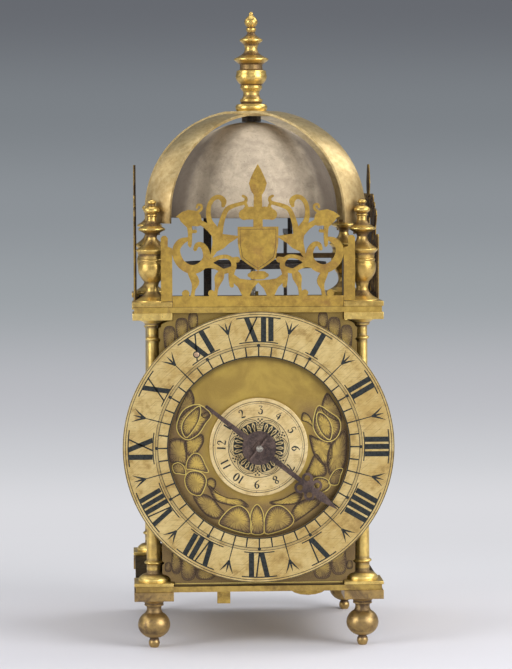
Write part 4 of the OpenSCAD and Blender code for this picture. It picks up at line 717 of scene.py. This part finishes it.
def circle(radius, width, parts=180):
    """A ring of one width about the dial's middle."""
    return [(*on_ring(360 * i / parts, radius), width) for i in range(parts + 1)]


def arc(radius, middle, half_angle, width, parts=10):
    """Part of a ring, on both sides of its middle angle."""
    angles = [middle + half_angle * (2 * i / parts - 1) for i in range(parts + 1)]
    return [(*on_ring(angle, radius), width) for angle in angles]


def spoke(angle, *places):
    """A stroke outward along an angle, through radii that each have a width."""
    return [(*on_ring(angle, radius), width) for radius, width in places]


def dot(x, z, width):
    """A round spot, drawn as one short stroke that swells and narrows."""
    shares = (-1, -0.9, -0.6, 0, 0.6, 0.9, 1)
    return [(x + width / 2 * share, z, width * math.sqrt(1.02 - share ** 2)) for share in shares]


def flat_bars(name, bars, face, material, height=0.05):
    """Broad wax-filled strokes with square ends, each given by its four corners."""
    shape = bmesh.new()
    for corners in bars:
        made = [shape.verts.new((x, face, DIAL + z)) for x, z in corners]
        side = bmesh.ops.extrude_face_region(shape, geom=[shape.faces.new(made)])
        lifted = [v for v in side["geom"] if isinstance(v, bmesh.types.BMVert)]
        bmesh.ops.translate(shape, vec=(0, -height, 0), verts=lifted)
    return finish_piece(name, shape, material)


# The hour ring: numerals, a mark at each half hour and lines at the quarters.
NUMERALS = ["XII", "I", "II", "III", "IIII", "V", "VI", "VII", "VIII", "IX", "X", "XI"]
THICK = 3.2
THIN = 0.95
GAP = 1.25
LOW = 64.4
HIGH = 79.0
SERIF = 4.4
WIDEST = 19.2
HOUR = 30
HALF_HOUR = HOUR / 2
QUARTERS = (0, HOUR / 4, 3 * HOUR / 4)
TRACK_IN = 55.2
TRACK_OUT = 61.1
HOUR_DOT = 61.9
FORK = 71.6
RING_CIRCLES = ((82.1, 0.4), (80.8, 0.5), (62.9, 0.4), (61.3, 0.45), (55.4, 0.7))
STEM = ((TRACK_IN, 1.0), (64, 0.8), (FORK, 0.6))
# A prong's points: how far out from the fork, how far across, and the width there.
PRONG = ((0.4, 0.3, 1.3), (3.8, 2.1, 1.1), (7.0, 4.2, 0.25))
WIDTHS = {"I": THICK, "V": 8.4, "X": 9.2}
# Each letter's straight strokes: where its foot and its head begin, and its width.
LETTERS = {
    "I": [(0, 0, THICK)],
    "V": [(3.4, 0, THICK), (5.9, 7.7, THIN)],
    "X": [(5.8, 0, THICK), (0.6, 7.6, THIN)],
}


def half_hour_mark(angle):
    """The stem, the dot and the three prongs between two hours."""
    marks = [spoke(angle, *STEM), dot(*on_ring(angle, FORK + 0.1), 1.8)]
    for lean in (-1, 0, 1):
        marks.append([(*on_ring(angle, FORK + out, lean * across), width) for out, across, width in PRONG])
    return marks


broad = []
fine = []
for hour, numeral in enumerate(NUMERALS):
    angle = HOUR * hour
    total = sum(WIDTHS[letter] for letter in numeral) + GAP * (len(numeral) - 1)
    squeeze = min(1.0, WIDEST / total)
    at = -total / 2
    for letter in numeral:
        for foot, head, width in LETTERS[letter]:
            corners = ((foot, LOW), (foot + width, LOW), (head + width, HIGH), (head, HIGH))
            broad.append([on_ring(angle, radius, (at + across) * squeeze) for across, radius in corners])
        at += WIDTHS[letter] + GAP
    spread = math.degrees(total * squeeze / 2 + SERIF)
    fine.append(arc(HIGH + 0.2, angle, spread / HIGH, 0.85))
    fine.append(arc(LOW - 0.2, angle, (spread - 90) / LOW, 0.8))
    fine.append(dot(*on_ring(angle, HOUR_DOT), 2.1))
    fine += half_hour_mark(angle + HALF_HOUR)
    fine += [spoke(angle + quarter, (TRACK_IN, 1.1), (TRACK_OUT, 0.9)) for quarter in QUARTERS]
fine += [circle(radius, width) for radius, width in RING_CIRCLES]
flat_bars("hour_numerals", broad, RING_FACE, WAX)
engrave("ring_lines", fine, RING_FACE, WAX)
# One rivet's head shows on the ring, beside the eleven.
RIVET = (-37.5, 56.7)
engrave("rivet_seat", [dot(*RIVET, 4.4)], RING_FACE, WAX, flat=4)
engrave("rivet_head", [dot(*RIVET, 3.2)], RING_FACE - 0.05, COPPER, height=0.12, flat=4)

# The alarm disc. Each figure's strokes are shares of its width and height and of the broadest stroke.
FIGURES = {
    "0": [[(0.5, 1, .1), (0.15, 0.75, .2), (0.12, 0.3, .22), (0.5, 0, .1), (0.85, 0.28, .22),
           (0.85, 0.75, .2), (0.5, 1, .1)]],
    "1": [[(0.5, 1, .2), (0.5, 0, .2)], [(0.3, 0.9, .06), (0.5, 1, .1)], [(0.3, 0, .07), (0.7, 0, .07)]],
    "2": [[(0.2, 0.75, .2), (0.32, 0.97, .1), (0.7, 0.97, .14), (0.8, 0.7, .2), (0.5, 0.35, .1),
           (0.12, 0.04, .08)],
          [(0.12, 0.05, .08), (0.5, 0.06, .2), (0.88, 0, .12), (0.92, 0.16, .08)]],
    "3": [[(0.15, 0.95, .1), (0.8, 0.95, .12), (0.42, 0.6, .08), (0.8, 0.5, .16), (0.82, 0.15, .2),
           (0.4, -0.02, .1), (0.14, 0.2, .2)]],
    "4": [[(0.72, 1, .1), (0.08, 0.32, .1), (0.95, 0.32, .14)], [(0.68, 0.72, .18), (0.66, 0, .2)]],
    "5": [[(0.85, 0.97, .1), (0.28, 0.97, .12), (0.22, 0.55, .1), (0.7, 0.56, .16), (0.84, 0.25, .2),
           (0.5, -0.02, .1), (0.16, 0.14, .2)]],
    "6": [[(0.8, 0.98, .08), (0.3, 0.72, .16), (0.14, 0.3, .22), (0.5, -0.02, .12), (0.86, 0.25, .2),
           (0.55, 0.52, .1), (0.2, 0.36, .1)]],
    "7": [[(0.1, 0.86, .1), (0.2, 0.98, .16), (0.88, 0.96, .16), (0.5, 0.4, .14), (0.42, 0, .2)]],
    "8": [[(0.5, 0.52, .12), (0.2, 0.76, .18), (0.5, 1, .08), (0.8, 0.76, .18), (0.5, 0.52, .12),
           (0.14, 0.24, .2), (0.5, -0.02, .08), (0.86, 0.24, .2), (0.5, 0.52, .12)]],
    "9": [[(0.2, 0.02, .08), (0.7, 0.28, .16), (0.86, 0.7, .22), (0.5, 1.02, .12), (0.14, 0.75, .2),
           (0.45, 0.48, .1), (0.8, 0.64, .1)]],
}
FIGURE_PITCH = 3.2
FIGURE_WIDTH = 3.1
FIGURE_HEIGHT = 5
FIGURE_FOOT = 20.2
FIGURE_STROKE = 5.4
THINNEST = 0.02
DISC_EDGE = 27.7
DISC_CIRCLES = ((DISC_EDGE, 0.4), (26.6, 0.3), (18.5, 0.5), (10.6, 0.5))
TOP_FIGURE = 3
DISC_TURN = 3
FIGURE_TICK = ((27.1, 0.4), (DISC_EDGE, 1.0))
DOT_GROUP = 15.9
DOT_PITCH = 1.1
DOT_ARC = 13.4
DARK_GROUND = 12.4
LOOP_MIDDLE = 12.0
LOOP_END = math.radians(111)
LOOP_FULLNESS = 1.15
LOOPS = ((5.9, 0.5), (5.0, 0.35))
PETAL_TURNS = (-13, 0, 13)
PETAL = ((9.4, 0.3), (11.2, 1.0), (13.2, 2.0), (14.4, 1.5), (15.2, 0.3))
PETAL_HEART = ((11.2, 0.3), (13.4, 0.8), (14.2, 0.2))
PETAL_LIFT = 0.32
HEART_LIFT = 0.42


def figure_strokes(number, lean):
    """The one or two figures of a number, with their heads towards the disc's edge."""
    drawn = []
    letters = str(number)
    for k, letter in enumerate(letters):
        left = (k - len(letters) / 2) * FIGURE_PITCH
        for strokes in FIGURES[letter]:
            curved = []
            for u, v, w in strokes:
                spot = on_ring(lean, FIGURE_FOOT + FIGURE_HEIGHT * v, left + FIGURE_WIDTH * u)
                curved.append((*spot, FIGURE_STROKE * w))
            if len(curved) > 2:
                curved = [(x, z, max(width, THINNEST)) for x, z, width in smooth(curved, 4)]
            drawn.append(curved)
    return drawn


def dotted_mark(lean):
    """Five dots over a short arc."""
    spots = ((-1, -1), (-1, 1), (0, 0), (1, -1), (1, 1))
    dots = [dot(*on_ring(lean, DOT_GROUP + b * DOT_PITCH, a * DOT_PITCH), 1.2) for a, b in spots]
    return dots + [arc(DOT_ARC, lean, 9, 0.5, 4)]


def looped_mark(lean):
    """The dark ground and the two loops around a group of petals."""
    drawn = [arc(DARK_GROUND, lean, 21, 6.2, 8)]
    for radius, width in LOOPS:
        turns = [LOOP_END * (i / 4 - 1) for i in range(9)]
        spots = [(LOOP_MIDDLE + radius * math.cos(t), radius * LOOP_FULLNESS * math.sin(t)) for t in turns]
        drawn.append([(*on_ring(lean, out, across), width) for out, across in spots])
    return drawn


figures = []
pale_petals = []
petal_hearts = []
for number in range(1, 13):
    lean = HOUR * (number - TOP_FIGURE)
    figures += figure_strokes(number, lean)
    figures.append(spoke(lean, *FIGURE_TICK))
    if number % 2:
        figures += dotted_mark(lean)
    else:
        figures += looped_mark(lean)
        pale_petals += [spoke(lean + side, *PETAL) for side in PETAL_TURNS]
        petal_hearts += [spoke(lean + side, *PETAL_HEART) for side in PETAL_TURNS]
figures += [circle(radius, width, 90) for radius, width in DISC_CIRCLES]
engrave("alarm_figures", figures, DISC_FACE, WAX, "alarm_dial", turned=DISC_TURN)
engrave("alarm_petals", pale_petals, DISC_FACE - PETAL_LIFT, DISC, "alarm_dial",
        turned=DISC_TURN)
engrave("alarm_petal_hearts", petal_hearts, DISC_FACE - HEART_LIFT, WAX, "alarm_dial",
        turned=DISC_TURN)

# The chased leaves of the dial plate, each a soft outline measured from the dial's middle.
RIGHT_DIAMOND = [(34.6, -5.7), (31, -13), (29.8, -16), (34.4, -18.4), (39.8, -17.6), (40.6, -13.8),
                 (37.9, -9.2)]
SMALL_LEAVES = [
    [(-42.1, 34), (-39.8, 29.8), (-40.2, 25.2), (-43.6, 22.2), (-49, 17.6), (-47.4, 23.7), (-44.4, 29.8)],
    [(-34.4, 19.9), (-31.8, 21), (-27.9, 21), (-29.8, 19.1), (-32.5, 18)],
    [(-43.6, 3.8), (-39, 5), (-35.2, 6.9), (-34.3, 3.1), (-37.5, -2.3), (-41.7, -4.2), (-44, -0.8)],
    [(-31.4, -21), (-29.1, -19.3), (-26.6, -21), (-26.8, -24.1), (-28.7, -26), (-30.6, -23.7)],
    [(-28.3, -24.5), (-25.2, -28.3), (-18.4, -31.4), (-12.2, -32.1), (-8.4, -36), (-16.8, -35.2),
     (-24.5, -32.9), (-27.5, -29)],
    [(-38.3, -30.6), (-32.9, -29.8), (-28.3, -32.1), (-24.5, -36.7), (-22.2, -39.8), (-25.2, -42.8),
     (-30.6, -41.3), (-35.2, -36.7)],
    [(8.4, -33.7), (15.3, -32.1), (22.2, -28.3), (25.2, -29.8), (23, -34.4), (16.8, -35.2), (10.7, -35.2)],
    [(20.7, -41.3), (23, -36.7), (27.5, -33.7), (33.7, -32.9), (36, -35.2), (30.6, -39.8), (25.2, -43.6),
     (22.2, -45.1)],
    [(42.1, 31), (39.4, 24.5), (41.3, 19.9), (49, 16.1), (49, 20.7), (45.1, 27.5)],
    [(27.5, 19.9), (30.6, 18.4), (33.3, 12.2), (29.8, 14.9), (26.8, 16)],
    [(32.1, 5.4), (36, 3.8), (42.8, 1.5), (43.6, -5.4), (40.6, -10.7), (34.8, -5.4), (32.9, 0)],
    [(52, 7.7), (44.4, -0.8), (42.8, -8.4), (44.4, -16), (51.3, -12.2), (52.8, -2.3)],
    [(-53, 3), (-45, 3), (-44.4, -5.4), (-44.4, -10), (-49, -8.4), (-53, -7.6)],
]
# The brighter ones: both tulips with their hearts, a bud, two arches, two domes and three foot leaves.
BRIGHT_LEAVES = [
    [(-28.7, 19.9), (-32.1, 14.5), (-36.7, 7.7), (-42.8, 4.6), (-47.4, 6.9), (-49.7, 11.5),
     (-48.6, 17.6), (-44.4, 23.7), (-36, 26)],
    [(-36, 25.2), (-35.2, 20.7), (-37.1, 14.5), (-43.2, 6.1), (-46.3, 9.2), (-46.3, 14.5),
     (-42.8, 19.9)],
    [(36.7, 24.9), (34, 19.1), (33.3, 11.5), (36.7, 5.4), (42.1, 2.7), (47.1, 4.6), (49.9, 9.9),
     (49.3, 16.1), (43.6, 20.7)],
    [(36.3, 20.7), (35.6, 14.5), (38.6, 7.7), (43.6, 3.8), (44.8, 11.5), (41.3, 18.4)],
    [(-44, -24.5), (-45, -19.1), (-42.8, -15.3), (-38.3, -14.4), (-33.7, -16.4), (-31.8, -20.7),
     (-33.7, -26.8), (-36, -29.5), (-40.9, -28.3)],
    [(-52.4, -11.1), (-49, -9.3), (-45.5, -11.5), (-44.4, -16.4), (-48.2, -16), (-51.3, -15.3)],
    [(-5, -46.7), (-4.6, -39.8), (-1.1, -35.2), (2.3, -39.4), (3.1, -45.9), (2.7, -53.2), (-4.2, -53.2)],
    [(-24.5, -46.7), (-20.7, -40.6), (-16.1, -36.9), (-11.5, -36), (-7.7, -38.3), (-5.4, -42.8),
     (-4.6, -52.8), (-12.2, -52), (-19.1, -49.7)],
    [(3.4, -45.1), (5.4, -39.4), (9.2, -36.3), (13.8, -36.3), (18.4, -39.8), (21.4, -45.1),
     (18.4, -49.3), (10.7, -52.4), (3.8, -53.2)],
    [(33.3, -23), (34, -19.9), (37.5, -19), (42.1, -20.7), (43.6, -24.5), (40.6, -27.5), (36, -28.3)],
    [(42.8, -23), (44, -18.4), (47.1, -14.5), (51.3, -13.9), (50, -18), (48.2, -23.7)],
    [(-44, -13), (-43.2, -7.7), (-39.4, -3.7), (-35.2, -5), (-32.5, -10.7), (-30.6, -15.3), (-36, -14.5),
     (-40.6, -13.4)],
]


def petal(low_x, high_x, round_z, open_z):
    """A corner petal, from its round end to the end that runs under the hour ring."""
    width = high_x - low_x
    height = open_z - round_z
    half = [(0.5, 0), (0.86, 0.06), (1, 0.3), (0.97, 0.7), (0.84, 1)]
    shares = half + [(1 - u, v) for u, v in half[:0:-1]]
    return [(low_x + width * u, round_z + height * v) for u, v in shares]


CORNER_PETALS = [petal(*sides) for sides in (
    (-57.2, -50.2, 73.8, 60), (-49.9, -42.5, 78.6, 66), (-42.2, -36.5, 81.8, 72),
    (50.2, 57.2, 73.8, 60), (42.5, 49.9, 78.6, 66), (36.5, 42.2, 81.8, 72),
    (-57.2, -53.5, -76, -70.5), (-53.2, -47.6, -77.4, -63), (-47.4, -38.8, -81.4, -66),
    (-38.5, -27, -81, -73), (53.6, 57.2, -75.6, -70.5), (44.2, 53.3, -79, -62), (33.5, 43.9, -81.4, -67),
)]
LEAF_LIFT = 0.02
LEAF_LAP = 0.012
LEAF_DOMING = 0.002
LEAF_RINGS = ((0.92, 0.9), (0.86, 0.55), (0.82, 0.2), (0.7, 0.0))


def chased_leaves(name, leaves, face):
    """Filled leaves: the mark named rim runs from 1 at a leaf's edge to 0 in its middle."""
    shape = bmesh.new()
    rim = shape.verts.layers.float.new("rim")
    for k, points in enumerate(leaves):
        lift = face - LEAF_LIFT - LEAF_LAP * k
        edge = [shape.verts.new((x, lift, DIAL + z)) for x, z in smooth(points, closed=True)]
        for point in edge:
            point[rim] = 1.0
        leaf = shape.faces.new(edge)
        leaf.normal_update()
        if leaf.normal.y > 0:
            leaf.normal_flip()
        heart = leaf.calc_center_median()
        for share, value in LEAF_RINGS:
            bmesh.ops.inset_individual(shape, faces=[leaf], thickness=0)
            for point in leaf.verts:
                point.co = heart + (point.co - heart) * share - Vector((0, LEAF_DOMING, 0))
                point[rim] = value
    bmesh.ops.triangulate(shape, faces=shape.faces)
    return finish_piece(name, shape, LEAF, recalculate=False)


def leaf_middle(points):
    return sum(p[0] for p in points) / len(points), sum(p[1] for p in points) / len(points)


def towards(middle, spot, share):
    """The place at a share of the way from a middle to a spot."""
    return middle[0] + (spot[0] - middle[0]) * share, middle[1] + (spot[1] - middle[1]) * share


def fuller(points, share):
    """The same leaf grown about its middle, so that it meets the next one."""
    middle = leaf_middle(points)
    return [towards(middle, spot, share) for spot in points]


def leaf_line(points, width, share=1.0):
    """A line around a leaf, at a share of its size."""
    middle = leaf_middle(points)
    around = smooth(points, closed=True)
    return [(*towards(middle, spot, share), width) for spot in around + around[:1]]


def hatching(points):
    """Fine cuts from a leaf's rim towards its middle."""
    middle = leaf_middle(points)
    lines = []
    for k, spot in enumerate(smooth(points, closed=True)):
        end = 0.3 + 0.25 * (k % 2)
        lines.append([(*towards(middle, spot, 0.93), 0.34), (*towards(middle, spot, end), 0.04)])
    return lines


behind_leaves = [fuller(points, 1.2) for points in SMALL_LEAVES] + [fuller(RIGHT_DIAMOND, 1.15)]
every_leaf = behind_leaves + BRIGHT_LEAVES
chased_leaves("dial_leaves", every_leaf, DIAL_FACE)
chased_leaves("corner_petals", CORNER_PETALS, DIAL_FACE)
LINE_END = 51
FOOT_LINE = -83.4
CUT_LIFT = 0.36
border = [(-LINE_END, FOOT_LINE, 0.6), (LINE_END, FOOT_LINE, 0.6)]
cut_face = DIAL_FACE - CUT_LIFT
dark_lines = [leaf_line(points, 0.4, 0.92) for points in every_leaf]
dark_lines += [leaf_line(points, 0.3) for points in CORNER_PETALS + behind_leaves]
for points in every_leaf + CORNER_PETALS:
    dark_lines += hatching(points)
engrave("dial_cuts", dark_lines, cut_face, CUT, height=0.03)
# Painted highlights: a bright line along the dial's foot, and bright outlines round the brighter leaves.
engrave("dial_foot_line", [border], DIAL_FACE - 0.02, LIT_EDGE_BRASS, height=0.04)
engrave("dial_bright_edges", [leaf_line(points, 0.6) for points in BRIGHT_LEAVES], cut_face, LIT_EDGE_BRASS,
        height=0.05)

# The front fret's engraving: the shield's border, and fine lines on the flower heads.
SHIELD = [(0, 48.2), (-12.3, 48.2), (-12.2, 38), (-10.6, 29), (-6, 25.4), (0, 21.4)]
SHIELD_MIDDLE = (0, 36.2)
shield = SHIELD + [(-x, z) for x, z in SHIELD[-2:0:-1]]
borders = []
for share, width in ((0.88, 0.45), (0.8, 0.25)):
    inner_edge = [(*towards(SHIELD_MIDDLE, spot, share), width) for spot in shield]
    borders.append(inner_edge + inner_edge[:1])
FLOWER_START = 37.4
FLOWER_LOW = 45.6
FLOWER_HIGH = 51.6
veins = []
for side in (-1, 1):
    for k in range(5):
        x = side * (FLOWER_START + 1.1 * k)
        veins.append([(x, FLOWER_LOW + 0.2 * k, 0.3), (x + side * 0.3, FLOWER_HIGH - 0.3 * k, 0.15)])
engrave("fret_lines", borders + veins, FRET_FACE, CUT, height=0.04, middle=DECK)

# Floor, light and camera, in metres.
scene = bpy.context.scene
scene.view_settings.view_transform = "Standard"
FLOOR_START = -3.0
FLOOR_END = 1.9
BEND = 0.6
WALL = FLOOR_END + BEND
WALL_TOP = 3.5
PAPER_SIDE = 3.5
EYE = (-0.0794, -1.577, 0.286)


def paper_finish():
    """Studio paper: pale on the floor, and darker the higher the camera has to look to see it."""
    made, shader, place = start_finish("studio_paper", 0.0, Roughness=0.9, Specular_IOR_Level=0.1)
    tree = made.node_tree
    place = place.stretch(MM, MM, MM)
    slope = (place.along(2) - EYE[2]) / (place.along(1) - EYE[1]).over(0.5)
    floor = place.along(1).step(-0.35, -0.1).blend("DDDCE2", "DAD9DF")
    floor = place.along(1).step(0.0, 0.25).blend(floor, "DADADE")
    tint = slope.step(-0.1345, -0.112).blend(floor, "D0D1D5")
    for low, high, code in ((-0.124, -0.082, "BABBC0"), (-0.091, -0.0425, "9CA1A5"),
                            (-0.051, -0.01, "8D9297"), (-0.014, 0.029, "7C8186"),
                            (0.025, 0.0714, "676A70")):
        tint = slope.step(low, high).blend(tint, code)
    tree.links.new(tint.socket, shader.inputs["Base Color"])
    ray = tree.nodes.new("ShaderNodeLightPath")
    seen = Field(tree, ray.outputs["Is Camera Ray"]) + Field(tree, ray.outputs["Is Glossy Ray"])
    seen = (seen + Field(tree, ray.outputs["Is Transmission Ray"])).under(1.0)
    glow = place.node("Emission", Color=tint, Strength=1.0)
    share = seen * place.along(1).step(0.08, 0.42)
    lit = Field(tree, shader.outputs["BSDF"])
    mixed = place.node("MixShader", s0=share, s1=lit, s2=glow)
    tree.links.new(mixed.socket, tree.nodes["Material Output"].inputs["Surface"])
    return made


paper = bmesh.new()
angles = [math.pi / 2 * i / 16 for i in range(1, 17)]
bend = [(FLOOR_END + BEND * math.sin(a), BEND - BEND * math.cos(a)) for a in angles]
section = [(FLOOR_START, 0), (FLOOR_END, 0)] + bend + [(WALL, WALL_TOP)]
row = [paper.verts.new((-PAPER_SIDE, y, z)) for y, z in section]
edges = [paper.edges.new(pair) for pair in zip(row, row[1:])]
drawn = bmesh.ops.extrude_edge_only(paper, edges=edges)
far_side = [v for v in drawn["geom"] if isinstance(v, bmesh.types.BMVert)]
bmesh.ops.translate(paper, vec=(2 * PAPER_SIDE, 0, 0), verts=far_side)
mesh = bpy.data.meshes.new("studio_paper")
paper.to_mesh(mesh)
paper.free()
mesh.shade_smooth()
mesh.materials.append(paper_finish())
backdrop = bpy.data.objects.new("studio_paper", mesh)
scene.collection.objects.link(backdrop)


def soft_light(name, place, aim, width, height, power):
    """A soft box that hangs at a place and faces a point."""
    lamp = bpy.data.lights.new(name, "AREA")
    lamp.shape = "RECTANGLE"
    lamp.size = width
    lamp.size_y = height
    lamp.energy = power
    held = bpy.data.objects.new(name, lamp)
    held.location = place
    held.rotation_euler = (Vector(aim) - Vector(place)).to_track_quat("-Z", "Y").to_euler()
    scene.collection.objects.link(held)


AIM = (0, 0, 0.18)
BELL_AIM = (0, 0, 0.28)
soft_light("key", (1.2, -1.0, 0.75), AIM, 1.1, 1.1, 24)
soft_light("left_fill", (-1.3, -0.8, 0.6), AIM, 0.8, 1.0, 14)
soft_light("front_fill", (0.1, -2.3, 1.1), AIM, 1.6, 0.8, 6)
soft_light("right_high", (1.0, 0.35, 1.2), BELL_AIM, 0.7, 0.7, 6)
soft_light("left_high", (-1.05, 0.35, 1.15), BELL_AIM, 0.7, 0.7, 2.5)
soft_light("top", (0, 0.1, 1.5), AIM, 1.0, 0.8, 5)

ROOM_TINT = (0.8, 0.82, 0.85, 1)
ROOM_STRENGTH = 0.36
world = bpy.data.worlds.new("studio")
world.use_nodes = True
room = world.node_tree.nodes["Background"]
room.inputs["Color"].default_value = ROOM_TINT
room.inputs["Strength"].default_value = ROOM_STRENGTH
scene.world = world

# The camera stands a little to the left, looks slightly down and leans a touch.
SENSOR_WIDTH = 36
LENS = 175.2
CAMERA_TURN = math.radians(-2.97)
CAMERA_TILT = math.radians(90 - 3.572)
CAMERA_LEAN = math.radians(-0.214)
camera = bpy.data.cameras.new("camera")
camera.sensor_fit = "HORIZONTAL"
camera.sensor_width = SENSOR_WIDTH
camera.lens = LENS
camera.clip_end = 20
held = bpy.data.objects.new("camera", camera)
held.matrix_world = (Matrix.Translation(EYE) @ Matrix.Rotation(CAMERA_TURN, 4, "Z")
                     @ Matrix.Rotation(CAMERA_TILT, 4, "X") @ Matrix.Rotation(CAMERA_LEAN, 4, "Z"))
scene.collection.objects.link(held)
scene.camera = held
